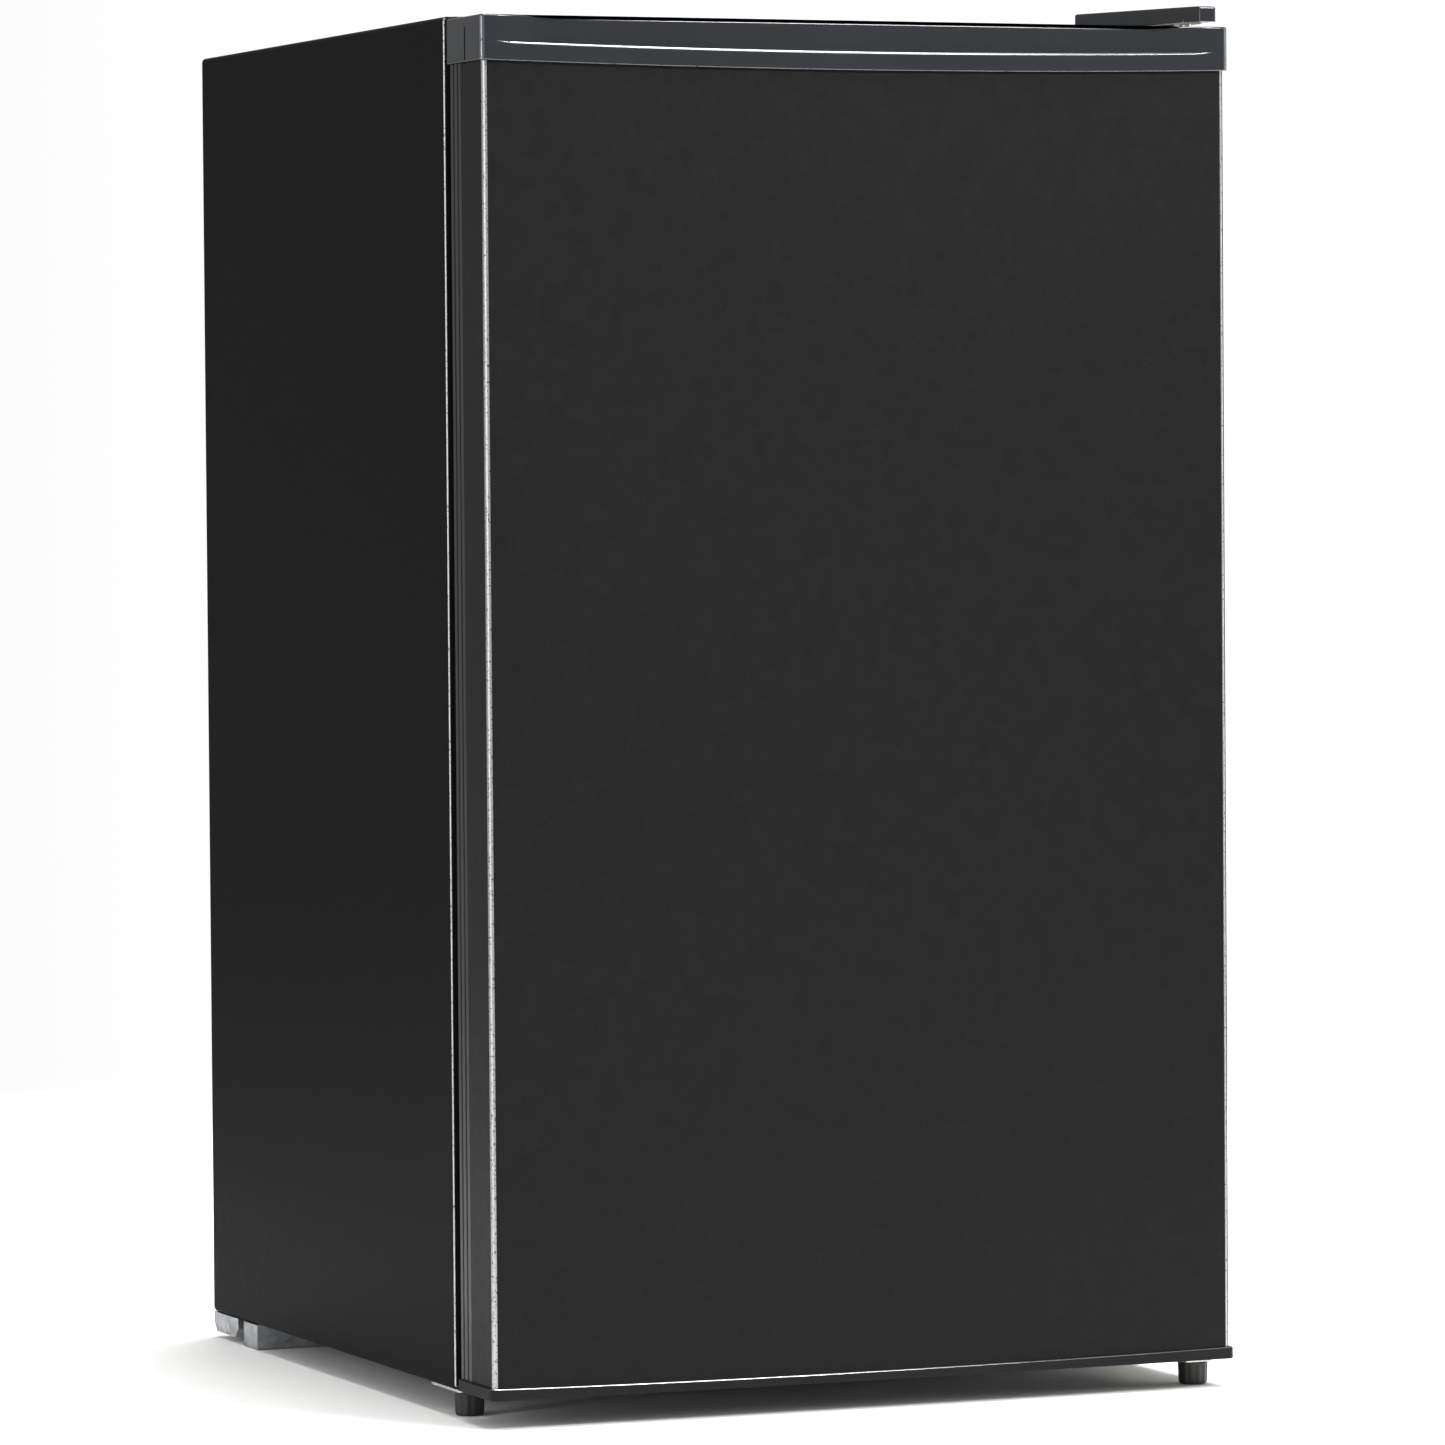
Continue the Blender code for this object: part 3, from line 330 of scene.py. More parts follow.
# %% Glass and clear polystyrene
def clear(slot, name, colours, ior, gloss, ripple_mm, depth_mm, alpha):
    tree, shader, place = surface(slot, name, {"IOR": ior, "Transmission Weight": 1.0, "Alpha": alpha})
    clouded(tree, shader, place, colours, 80.0, gloss)
    grained(tree, shader, place, ripple_mm, depth_mm)


clear("shelf_glass", "4 mm tempered glass", ("#e9f6f0", "#eef8f4"), 1.52, (0.02, 0.05), 30.0, 0.003, 0.45)
clear("clear_plastic", "clear polystyrene", ("#f3f8fa", "#f7fbfc"), 1.59, (0.05, 0.10), 20.0, 0.010, 0.5)
print("clear pieces:", looks["shelf_glass"].name, "/", looks["clear_plastic"].name)


# %% [markdown]
# ## Metals
#
# Galvanised sheet shows spangle, crystals of zinc a few millimetres wide that each mirror a little
# differently. Voronoi cells give that: one random grey for each cell, used for the colour and the gloss.
# Zinc plate on the brackets is finer and brighter. The evaporator is rolled aluminium, whose grain runs
# in one direction. Copper tube is slightly tarnished, and the compressor wears a black stoved enamel.
#
# The last four finishes are painted highlights for edges. Where black paint or plastic runs over a tight fold
# it catches every lamp as a thin bright line; each of these paints that line as the dark finish with
# specks of bright metallic colour from a noise pattern.

# %% Metals
def spangled(slot, name, colours, crystal_mm, gloss):
    tree, shader, place = surface(slot, name, {"Metallic": 1.0})
    crystal = add(tree, "ShaderNodeTexVoronoi", {"Scale": scale_for(crystal_mm)}, {"Vector": place})
    grey = add(tree, "ShaderNodeSeparateColor", (), {"Color": crystal.outputs["Color"]})
    tint = add(tree, "ShaderNodeMix", {6: linear(colours[0]), 7: linear(colours[1])},
               {0: grey.outputs["Red"]}, data_type="RGBA")
    tree.links.new(tint.outputs[2], shader.inputs["Base Color"])
    rough = add(tree, "ShaderNodeMapRange", {"To Min": gloss[0], "To Max": gloss[1]},
                {"Value": grey.outputs["Green"]})
    tree.links.new(rough.outputs["Result"], shader.inputs["Roughness"])
    grained(tree, shader, place, 1.5, 0.010)


def rolled(slot, name, colours, gloss, stretch, grain_mm, depth_mm):
    """Metal whose fine lines run along one direction: the noise is squeezed across it."""
    tree, shader, place = surface(slot, name, {"Metallic": 1.0})
    clouded(tree, shader, place, colours, 25.0, gloss)
    drawn = add(tree, "ShaderNodeVectorMath", {1: stretch}, {0: place}, operation="MULTIPLY")
    grained(tree, shader, drawn.outputs["Vector"], grain_mm, depth_mm)


def enamelled(slot, name, colours, gloss):
    tree, shader, place = surface(slot, name, {"IOR": 1.5, "Coat Weight": 0.3, "Coat Roughness": 0.12})
    clouded(tree, shader, place, colours, 30.0, gloss)
    grained(tree, shader, place, 3.0, 0.020)


spangled("galvanised_steel", "hot-dip galvanised steel", ("#94969a", "#b2b4b7"), 5.0, (0.34, 0.52))
spangled("zinc_steel", "zinc-plated steel", ("#b4b4ae", "#c6c6bf"), 0.8, (0.24, 0.34))
rolled("aluminium", "roll-bonded aluminium", ("#c3c6c8", "#d2d5d6"), (0.26, 0.36),
       (1.0, 0.04, 1.0), 0.9, 0.010)
rolled("copper", "drawn copper, slightly tarnished", ("#a9694a", "#c98a66"), (0.24, 0.38),
       (1.0, 1.0, 0.2), 1.0, 0.008)
enamelled("black_enamel", "black stoved enamel on steel", ("#0e0e0f", "#131314"), (0.30, 0.40))


def burnished(slot, name, dark, bright, share, gloss, patch_mm, fade=None):
    """A painted highlight along a fold or a ridge: specks of bright metallic colour in the dark finish.

    fade = (start, end, what is left) is how the painted highlight dies away along x, towards the hinge."""
    tree, shader, place = surface(slot, name, {})
    speck = add(tree, "ShaderNodeTexNoise", {"Scale": scale_for(patch_mm), "Detail": 3.0}, {"Vector": place})
    highlight_mask = add(tree, "ShaderNodeMapRange", {"From Min": 0.62 - share * 0.4, "From Max": 0.70 - share * 0.4},
               {"Value": speck.outputs["Fac"]})
    # The painted highlight fades along x: full at the left end of the door, down to what is left towards the
    # hinge.
    if fade:
        across = add(tree, "ShaderNodeSeparateXYZ", (), {"Vector": place})
        left = add(tree, "ShaderNodeMapRange",
                   {"From Min": fade[0], "From Max": fade[1], "To Min": 1.0, "To Max": fade[2]},
                   {"Value": across.outputs["X"]})
        highlight_mask = add(tree, "ShaderNodeMath", (), {0: highlight_mask.outputs["Result"], 1: left.outputs["Result"]},
                   operation="MULTIPLY")
    highlight_share = highlight_mask.outputs[0]
    tint = add(tree, "ShaderNodeMix", {6: linear(dark), 7: linear(bright)}, {0: highlight_share}, data_type="RGBA")
    tree.links.new(tint.outputs[2], shader.inputs["Base Color"])
    tree.links.new(highlight_share, shader.inputs["Metallic"])
    rough = add(tree, "ShaderNodeMapRange", {"To Min": gloss[0], "To Max": gloss[1]},
                {"Value": speck.outputs["Fac"]})
    tree.links.new(rough.outputs["Result"], shader.inputs["Roughness"])


# Painted highlights: the thin bright lines of light along the folds, the ridge, the bottom ledge and the
# corners, painted as bright metallic specks; the ridge and ledge ones fade along x.
burnished("painted highlight fold", "black paint with a painted highlight along a fold", "#2a2a2b", "#a6a6a6", 0.68,
          (0.28, 0.48), 1.1)
burnished("painted highlight ridge", "black ABS with a painted highlight along a ridge", "#303133", "#c6c8cc", 0.95, (0.15, 0.25),
          2.5, (-0.02, 0.15, 0.05))
burnished("painted highlight ledge", "black ABS with a painted highlight along the bottom ledge", "#1c1c1d", "#bcbdc0", 0.95,
          (0.20, 0.30), 2.5, (-0.05, 0.12, 0.06))
burnished("painted highlight corner", "black ABS with a painted highlight at a corner", "#232427", "#6b6d72", 0.80, (0.22, 0.30), 3.0)

for part in record["subparts"]:
    for held in frame["nodes"][part["node"]].material_slots:
        held.material = looks[part["material_slot"]]
print(len(looks), "finishes on", len(record["subparts"]), "pieces")

# %% [markdown]
# ## Mesh tools
#
# Sheet metal, mouldings and turned parts are all skins through a row of loops. One loft function makes
# them: it is given loops with the same number of points and joins each to the next. A bevelled box, a
# turned piece and a bent tube are then a few lines each. Blender's own primitives with modifiers would do
# as well, but loops keep every radius exact and the meshes light.

# %% Tools that draw a mesh
def loft(bm, loops, ring=False):
    """Joins loops of equal length with quads. It closes the ends, or joins the last loop to the first."""
    rows = [[bm.verts.new(p) for p in loop] for loop in loops]
    pairs = list(zip(rows, rows[1:])) + ([(rows[-1], rows[0])] if ring else [])
    for one, two in pairs:
        for i in range(len(one)):
            j = (i + 1) % len(one)
            bm.faces.new((one[i], one[j], two[j], two[i]))
    if not ring:
        bm.faces.new(rows[0][::-1])
        bm.faces.new(rows[-1])


def along(axis, a, b, c):
    """A point at c along the axis, with a and b in the other two, in x, y, z order."""
    return {"x": (c, a, b), "y": (a, c, b), "z": (a, b, c)}[axis]


def arc(centre, radius, first, last, steps):
    angles = (radians(first + (last - first) * i / steps) for i in range(steps + 1))
    return [(centre[0] + radius * cos(t), centre[1] + radius * sin(t)) for t in angles]


def rounded(u0, u1, v0, v1, radius, steps=4):
    """A rectangle with round corners, as points in its plane."""
    r = max(radius, 1e-5)
    return (arc((u0 + r, v0 + r), r, 180, 270, steps) + arc((u1 - r, v0 + r), r, 270, 360, steps)
            + arc((u1 - r, v1 - r), r, 0, 90, steps) + arc((u0 + r, v1 - r), r, 90, 180, steps))


def stack(bm, axis, levels, across, up, radius, steps=4):
    """Rounded rectangles along an axis. levels holds (place, inset) pairs; across and up are (low, high)."""
    loops = []
    for place, inset in levels:
        plan = rounded(across[0] + inset, across[1] - inset, up[0] + inset, up[1] - inset, radius, steps)
        loops.append([along(axis, a, b, place) for a, b in plan])
    loft(bm, loops)


def box(bm, low, high, radius=0.0005, segments=2):
    """A box with rolled edges."""
    middle = [(a + b) / 2 for a, b in zip(low, high)]
    size = [b - a for a, b in zip(low, high)]
    made = bmesh.ops.create_cube(bm, size=1, matrix=Matrix.Translation(middle) @ Matrix.Diagonal((*size, 1)))
    if radius:
        edges = list(dict.fromkeys(e for v in made["verts"] for e in v.link_edges))
        bmesh.ops.bevel(bm, geom=edges, offset=radius, segments=segments, profile=0.5, affect="EDGES")


def turned(bm, profile, centre, axis, sides=32, ring=False):
    """A turned piece from (radius, place along the axis) points."""
    loops = []
    for r, c in profile:
        spin = (2 * pi * i / sides for i in range(sides))
        loops.append([along(axis, centre[0] + r * cos(t), centre[1] + r * sin(t), c) for t in spin])
    loft(bm, loops, ring)


def tube(bm, points, radius, sides=10):
    """A round tube along the points, with its section carried from each to the next without twisting."""
    path = [Vector(p) for p in points]
    ahead = [(b - a).normalized() for a, b in zip(path, path[1:])]
    ways = [ahead[0]] + [(a + b).normalized() for a, b in zip(ahead, ahead[1:])] + [ahead[-1]]
    side = ways[0].orthogonal().normalized()
    loops = []
    for point, way in zip(path, ways):
        side = (side - way * side.dot(way)).normalized()
        other = way.cross(side)
        spin = (2 * pi * i / sides for i in range(sides))
        loops.append([point + (side * cos(t) + other * sin(t)) * radius for t in spin])
    loft(bm, loops)


def bent(points, radius, steps=5):
    """The route with its corners turned into bends."""
    path = [Vector(p) for p in points]
    route = [path[0]]
    for before, corner, after in zip(path, path[1:], path[2:]):
        back, on = before - corner, after - corner
        reach = min(radius, back.length * 0.48, on.length * 0.48)
        start, end = corner + back.normalized() * reach, corner + on.normalized() * reach
        for i in range(steps + 1):
            t = i / steps
            route.append(start * (1 - t) ** 2 + corner * 2 * t * (1 - t) + end * t * t)
    return route + [path[-1]]


def screw(bm, at, axis, way, radius=0.0038):
    """A pan-head screw with a shallow round dimple in its head. way is +1 or -1 along the axis."""
    u, v, c = {"x": (at[1], at[2], at[0]), "y": (at[0], at[2], at[1]), "z": (at[0], at[1], at[2])}[axis]
    high = radius * 0.55
    profile = [(radius, c), (radius, c + way * high * 0.45), (radius * 0.82, c + way * high * 0.85),
               (radius * 0.5, c + way * high), (radius * 0.30, c + way * high)]
    turned(bm, profile + [(radius * 0.16, c + way * high * 0.35)], (u, v), axis, 20)


made_pieces = []


def piece(name, bm, slot, body, *stands_for, crease=35):
    """The mesh as an object that moves with a body. It may stand for nodes of the frame."""
    bmesh.ops.remove_doubles(bm, verts=bm.verts, dist=2e-6)
    bmesh.ops.dissolve_degenerate(bm, edges=bm.edges, dist=1e-6)
    bmesh.ops.recalc_face_normals(bm, faces=bm.faces)
    mesh = bpy.data.meshes.new(name)
    bm.to_mesh(mesh)
    bm.free()
    mesh.materials.append(looks[slot])
    mesh.shade_smooth()
    mesh.set_sharp_from_angle(angle=radians(crease))
    obj = bpy.data.objects.new(name, mesh)
    bpy.context.scene.collection.objects.link(obj)
    obj.location = (0, FRONT_PLANE, 0)
    even = obj.modifiers.new("shade by face area", "WEIGHTED_NORMAL")
    even.keep_sharp = True
    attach(obj, body)
    if stands_for:
        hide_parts(*stands_for)
    made_pieces.append(name)
    return obj


# %% [markdown]
# ## Bright edges
#
# The folds of the sheet, the ridge of the top cap and the ledge of the bottom cap show as thin bright
# lines of light. Stronger lamps could draw them on plain paint, but those would burn out the white lining. So
# the faces along an edge get a painted highlight instead, as a second finish: a slot is added to the mesh,
# and the faces are picked by place and direction.

# %% Bright edges
def rub(obj, look, chosen):
    """Gives a second finish, a painted highlight, to the faces for which chosen(centre, normal) is true."""
    obj.data.materials.append(looks[look])
    count = 0
    for face in obj.data.polygons:
        if chosen(face.center, face.normal):
            face.material_index = len(obj.data.materials) - 1
            count += 1
    print(obj.name, "has", count, "faces given a painted highlight")


# %% [markdown]
# ## Cabinet wrapper
#
# The cabinet's outside is one sheet, folded into an upside-down U, with a flange turned in at the front
# for the seal and a narrow one at the back. A press brake leaves a radius at each fold; along the front edge
# that radius carries a painted highlight, the line of light that it catches. The sheet's section is drawn
# once, flange to flange, and swept up one side, across the top and down the other. At the two top corners
# every point inside the bend meets at a mitre.

# %% Cabinet wrapper
SHEET = 0.0008
FOLD = 0.0020
TOP_FOLD = 0.0030
FLANGE, REAR_FLANGE, BOTTOM_FLANGE = 0.028, 0.012, 0.012


def sheet_section():
    """(distance from the front plane, distance in from the outside) round the folded sheet."""
    front_out = arc((FOLD, FOLD), FOLD, 180, 270, 6)
    rear_out = arc((DEPTH - FOLD, FOLD), FOLD, 270, 360, 6)
    inner = FOLD - SHEET
    rear_in = arc((DEPTH - FOLD, FOLD), inner, 360, 270, 6)
    front_in = arc((FOLD, FOLD), inner, 270, 180, 6)
    outside = [(0, FLANGE), *front_out, *rear_out, (DEPTH, REAR_FLANGE)]
    inside = [(DEPTH - SHEET, REAR_FLANGE), *rear_in, *front_in, (SHEET, FLANGE)]
    return outside + inside


def wrapper_stations(steps=8):
    """Places along the U as functions of the distance in from the outside."""
    def post(side, z):
        return lambda d: (side * (HALF - d), z)

    def bend(side, angle):
        def at(d):
            if d > TOP_FOLD:
                return side * (HALF - d), CABINET_TOP - d
            r = TOP_FOLD - d
            return side * (HALF - TOP_FOLD + r * cos(angle)), CABINET_TOP - TOP_FOLD + r * sin(angle)
        return at

    angles = [pi / 2 * i / steps for i in range(steps + 1)]
    left = [post(-1, CABINET_BOTTOM + FOLD)] + [bend(-1, a) for a in angles]
    right = [bend(1, a) for a in reversed(angles)] + [post(1, CABINET_BOTTOM + FOLD)]
    return left + right


bm = bmesh.new()
section = sheet_section()
loft(bm, [[(at(d)[0], y, at(d)[1]) for y, d in section] for at in wrapper_stations()])
for side in (-1, 1):
    centre = (HALF - FOLD, CABINET_BOTTOM + FOLD)
    outer = arc(centre, FOLD, 360, 270, 6) + [(HALF - BOTTOM_FLANGE, CABINET_BOTTOM)]
    inner = [(HALF - BOTTOM_FLANGE, CABINET_BOTTOM + SHEET)] + arc(centre, FOLD - SHEET, 270, 360, 6)
    loft(bm, [[(side * x, y, z) for x, z in outer + inner] for y in (0.0026, DEPTH - 0.0030)])
wrapper = piece("wrapper_sheet", bm, "cabinet_steel", "cabinet", "cabinet_wrapper")
# Faces on the front folds get a painted highlight: the thin bright line of light along the cabinet's front
# edge.
rub(wrapper, "painted highlight fold",
    lambda c, n: c.y < FOLD and abs(c.x) > HALF - FOLD and 0.45 < abs(n.x) < 0.85 and n.y < 0)
print(f"wrapper: {len(section)} points in the section, folds of {FOLD * 1000:.1f} mm")

# %% [markdown]
# ## Door line
#
# Seen from above the door is almost flat: the middle stands 3 mm proud of the corners, and the corners
# are 4 mm radii. The skin and both caps follow this one line, so it is worked out once, as points with
# the direction that leads inwards and how far along the door each is. A cap's loop is that line moved in
# by some distance. Where the fingers reach over the top cap, its front is set back by 8 mm, and that
# fades out before the corners.

# %% Door line
CORNER = 0.004
DOOR_BACK = 0.012
FRONT_POINTS = 96


def smooth(edge0, edge1, value):
    """0 up to the first edge, 1 from the second, and a soft step between them."""
    t = min(1.0, max(0.0, (value - edge0) / (edge1 - edge0)))
    return t * t * (3 - 2 * t)


def door_line(proud, back):
    """(point, inward direction, share of the half width) from the back left round to the back right."""
    half, front = HALF + proud, DOOR_FRONT + proud
    line = [((-half, -back), (1, 0), -1.0)]
    for x, y in arc((-half + CORNER, -front + CORNER), CORNER, 180, 262, 7):
        inward = Vector((-half + CORNER - x, -front + CORNER - y)).normalized()
        line.append(((x, y), tuple(inward), -1.0))
    for i in range(1, FRONT_POINTS):
        x = (half - CORNER) * (2 * i / FRONT_POINTS - 1)
        share = x / half
        line.append(((x, -front - BOW * (1 - share * share)), (0, 1), share))
    return line + [((-x, y), (-u, v), 1.0) for (x, y), (u, v), share in reversed(line[:9])]


def grip(share):
    """1 where the front is set back for the fingers, 0 at the corner posts."""
    return 1 - smooth(0.80, 0.955, abs(share))


def dip(share):
    """1 in the middle of the door, 0 at its corners, along a flat arc."""
    return 1 - share * share


def cap_loop(line, inset, height, set_back=0.0):
    """A loop of the cap: the door line moved in by inset(share), at height(share)."""
    loop = []
    for (x, y), (u, v), share in line:
        move = inset(share)
        on_back = abs(y + DOOR_BACK) < 1e-6
        back = 0 if on_back else set_back * grip(share)
        loop.append((x + u * move, y + (0 if on_back else v * move + back), height(share)))
    return loop


full_line = door_line(CAP_PROUD, DOOR_BACK)
print(len(full_line), "points on the door line")

# %% [markdown]
# ## Door skin
#
# One sheet wraps the door's front and turns back along both sides to the plastic edge strips. It is drawn
# as a folded strip with thickness, so the corner is a true radius; its faces there carry a painted highlight,
# and its top and bottom edges disappear behind the lips of the caps.

# %% Door skin
SKIN_BACK = 0.030
bm = bmesh.new()
outer = door_line(0, SKIN_BACK)
section = [p for p, _, _ in outer] + [(x + u * SHEET, y + v * SHEET) for (x, y), (u, v), _ in reversed(outer)]
loft(bm, [[(x, y, z) for x, y in section] for z in (SKIN_BOTTOM, SKIN_TOP)])
skin = piece("door_front_sheet", bm, "door_steel", "door", "door_skin")
# The door's rounded corners get a painted highlight; on the right the outermost faces stay dark, so the
# outline keeps its dark edge.
rub(skin, "painted highlight fold", lambda c, n: c.x < 0.01 - HALF and n.y < -0.30 and 0.25 < -n.x < 0.96)
rub(skin, "painted highlight fold", lambda c, n: c.x > HALF - CORNER - 0.0005 and n.y < -0.30 and 0.08 < n.x < 0.52)
print(f"door skin {SKIN_TOP - SKIN_BOTTOM:.4f} m high")

# %% [markdown]
# ## Top cap
#
# The top cap is one ABS moulding. Its lower band hangs over the skin by a thin lip and ends above in a
# rounded ridge, and the band's edges both sag by 3 mm towards the middle of the door. Behind the ridge is
# a trough for the fingertips, and behind that the upper band, set back between two corner posts. Each of
# these is a loop or a quarter circle of loops, from the lip at the bottom to the flat top.

# %% Top cap
CAP_ROOT = SKIN_TOP + GAP
LIP_SAG, RIDGE_SAG = 0.0032, 0.0034
RIDGE_UP = 0.0113
RIDGE_ROUND = 0.0016
RIDGE_THICK = 0.0034
TROUGH = 0.0055
SET_BACK = 0.0080
TOP_DROP = 0.0014
TOP_ROUND = 0.0013
LIP_THICK = CAP_PROUD - GAP
lip_z = lambda s: CAP_ROOT - LIP_SAG * dip(s)
ridge_z = lambda s: CAP_ROOT + RIDGE_UP - RIDGE_SAG * dip(s)
crest_z = lambda s: DOOR_TOP - TOP_DROP * (1 - smooth(0.74, 0.92, abs(s)))
open_w = lambda s: min(1.0, 5 * grip(s))


def quarter(steps):
    """(sine, 1 - cosine) pairs of a quarter turn, for a rounded edge."""
    return [(sin(pi / 2 * i / steps), 1 - cos(pi / 2 * i / steps)) for i in range(steps + 1)]


levels = [
    cap_loop(full_line, lambda s: LIP_THICK, lambda s: CAP_ROOT),
    cap_loop(full_line, lambda s: LIP_THICK, lip_z),
    cap_loop(full_line, lambda s: 0.0004, lip_z),
    cap_loop(full_line, lambda s: 0.0, lambda s: lip_z(s) + 0.0004),
]
for up, over in quarter(6):
    levels.append(cap_loop(full_line, lambda s, o=over: RIDGE_ROUND * o * open_w(s),
                           lambda s, u=up: ridge_z(s) - RIDGE_ROUND * (1 - u)))
thick = lambda s: RIDGE_THICK * open_w(s) * min(1.0, 1.6 * grip(s))
levels += [
    cap_loop(full_line, lambda s: thick(s) * 0.80, ridge_z),
    cap_loop(full_line, thick, lambda s: ridge_z(s) - 0.0010 * grip(s)),
    cap_loop(full_line, lambda s: thick(s) * 1.06, lambda s: ridge_z(s) - TROUGH * 0.8 * grip(s)),
    cap_loop(full_line, lambda s: thick(s) * 1.35, lambda s: ridge_z(s) - TROUGH * grip(s)),
    cap_loop(full_line, lambda s: 0, lambda s: ridge_z(s) - TROUGH * 0.7 * grip(s), SET_BACK),
    cap_loop(full_line, lambda s: 0, lambda s: ridge_z(s) + 0.0002, SET_BACK),
]
for up, over in quarter(5):
    levels.append(cap_loop(full_line, lambda s, o=over: TOP_ROUND * o,
                           lambda s, u=up: crest_z(s) - TOP_ROUND * (1 - u), SET_BACK))
levels.append(cap_loop(full_line, lambda s: 0.011, lambda s: DOOR_TOP, SET_BACK))
bm = bmesh.new()
loft(bm, levels)
for side in (-1, 1):
    edge = side * (HALF + CAP_PROUD)
    inner_x, outer_x = sorted((edge, edge + side * 0.0004))
    box(bm, (inner_x - 0.0002, -0.0420, CAP_ROOT + 0.0012),
        (outer_x + 0.0001, -0.0170, CAP_ROOT + 0.0205), 0.0002)
top_cap = piece("top_cap_moulding", bm, "cap_plastic", "door", "door_top_cap")


RIDGE_FRONT, RIDGE_END = -0.066, 0.2235


def on_ridge(c, n):
    """The rolled crest of the ridge, between the corner posts."""
    on_crest = c.y < RIDGE_FRONT and abs(c.z - ridge_z(c.x / HALF)) < 0.0012
    return on_crest and n.z > 0.45 and n.y < 0.3 and abs(c.x) < RIDGE_END


def on_corner(c, n):
    """The lip's under edge, and the upright corners where the cap turns to its side."""
    under = -0.9 < n.z < -0.3 and n.y < -0.3 and c.z < CAP_ROOT + 0.0006
    left = abs(n.z) < 0.3 and n.y < -0.28 and 0.35 < -n.x < 0.97 and c.x < 0.003 - HALF
    right = abs(n.z) < 0.3 and n.y < -0.30 and 0.08 < n.x < 0.52 and c.x > HALF - 0.003
    return under or left or right


# The crest of the ridge, the cap's corners and the lip's under edge get painted highlights; on the ridge the
# line of light fades along x.
rub(top_cap, "painted highlight ridge", on_ridge)
rub(top_cap, "painted highlight corner", on_corner)
print(len(levels), "loops in the top cap")

# %% [markdown]
# ## Bottom cap
#
# The bottom cap is a shallow tray with a thin lip in front of the skin. The lip's rounded upper edge
# carries a painted highlight, the bright line of light along the foot of the door. It stands 7 mm high at
# the corners and 5.5 mm in the middle.

# %% Bottom cap
BASE_ROOT = SKIN_BOTTOM - GAP
BASE_ROUND = 0.0009
base_lip = lambda s: BASE_ROOT + 0.0002 + 0.0018 * s * s
levels = [
    cap_loop(full_line, lambda s: 0.0007, lambda s: DOOR_BOTTOM),
    cap_loop(full_line, lambda s: 0.0002, lambda s: DOOR_BOTTOM + 0.0002),
    cap_loop(full_line, lambda s: 0.0, lambda s: DOOR_BOTTOM + 0.0007),
]
for up, over in quarter(6):
    levels.append(cap_loop(full_line, lambda s, o=over: BASE_ROUND * o,
                           lambda s, u=up: base_lip(s) - BASE_ROUND * (1 - u)))
levels.append(cap_loop(full_line, lambda s: LIP_THICK, base_lip))
levels.append(cap_loop(full_line, lambda s: LIP_THICK, lambda s: BASE_ROOT))
bm = bmesh.new()
loft(bm, levels)
hinge_x, hinge_y = 0.2285, -0.041
turned(bm, [(0.0095, DOOR_BOTTOM + 0.001), (0.0095, 0.0355), (0.0090, 0.0360)], (hinge_x, hinge_y), "z")
bottom_cap = piece("bottom_cap_moulding", bm, "cap_plastic", "door", "door_bottom_cap")
bottom_cap.data.materials[0] = looks["matt_cap"]
# The rounded upper edge of the lip gets a painted highlight, a line of light that fades along x.
rub(bottom_cap, "painted highlight ledge", lambda c, n: n.z > 0.45 and c.y < RIDGE_FRONT and c.z > BASE_ROOT - 0.0010)
print(len(levels), "loops in the bottom cap")

# %% [markdown]
# ## Edge strips and seal
#
# Between the skin's return and the door's back runs an extruded PVC strip with two grooves. The magnetic
# seal snaps into the back of the door. Its section is a flat foot, two folds of bellows and a bulb that
# holds the magnet, and it is cut and welded at a mitre in each corner, as the swept section below is.

# %% Edge strips and seal
def grooved(y_from, y_to, grooves):
    """The strip's outline: straight outside, with round-edged grooves of 1.4 mm."""
    line = [(HALF, y_from)]
    for y in grooves:
        line += [(HALF, y - 0.0012), (HALF - 0.0003, y - 0.0010), (HALF - 0.0014, y - 0.0008),
                 (HALF - 0.0014, y + 0.0008), (HALF - 0.0003, y + 0.0010), (HALF, y + 0.0012)]
    return line + [(HALF, y_to), (HALF - 0.0125, y_to), (HALF - 0.0125, y_to - 0.0020),
                   (HALF - 0.0030, y_to - 0.0020), (HALF - 0.0030, y_from)]


for side, name in ((-1, "left"), (1, "right")):
    bm = bmesh.new()
    outline = grooved(-SKIN_BACK + GAP, -DOOR_BACK, (-0.0240, -0.0170))
    loft(bm, [[(side * x, y, z) for x, y in outline] for z in (SKIN_BOTTOM, SKIN_TOP)])
    piece(f"edge_strip_{name}", bm, "trim_plastic", "door", f"door_trim_{name}")

seal_low, seal_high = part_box("door_seal")
SEAL_SECTION = [  # (in from the outer edge, from the front plane)
    (0.0000, -0.0117), (0.0000, -0.0104), (0.0026, -0.0092), (0.0006, -0.0074), (0.0006, -0.0066),
    (0.0026, -0.0052), (0.0002, -0.0040), (0.0000, -0.0012), (0.0008, -0.0003), (0.0094, -0.0003),
    (0.0102, -0.0012), (0.0100, -0.0040), (0.0084, -0.0052), (0.0106, -0.0068), (0.0090, -0.0086),
    (0.0118, -0.0100), (0.0150, -0.0108), (0.0150, -0.0117),
]
bm = bmesh.new()
loops = []
for inset, y in SEAL_SECTION:
    x, low, high = seal_high.x - inset, seal_low.z + inset, seal_high.z - inset
    loops.append([(-x, y, low), (x, y, low), (x, y, high), (-x, y, high)])
loft(bm, loops, ring=True)
piece("magnetic_seal", bm, "seal_rubber", "door", "door_seal", crease=60)
print("seal section:", len(SEAL_SECTION), "points")

# %% [markdown]
# ## Top hinge and its cover
#
# The top hinge is a zinc-plated plate held by three screws, with a pin that drops into the door's cap. A
# moulded wedge covers it. Its plan is a triangle with a blunt front end, and all its edges are rolled, so
# each level is the same plan drawn in a little further.

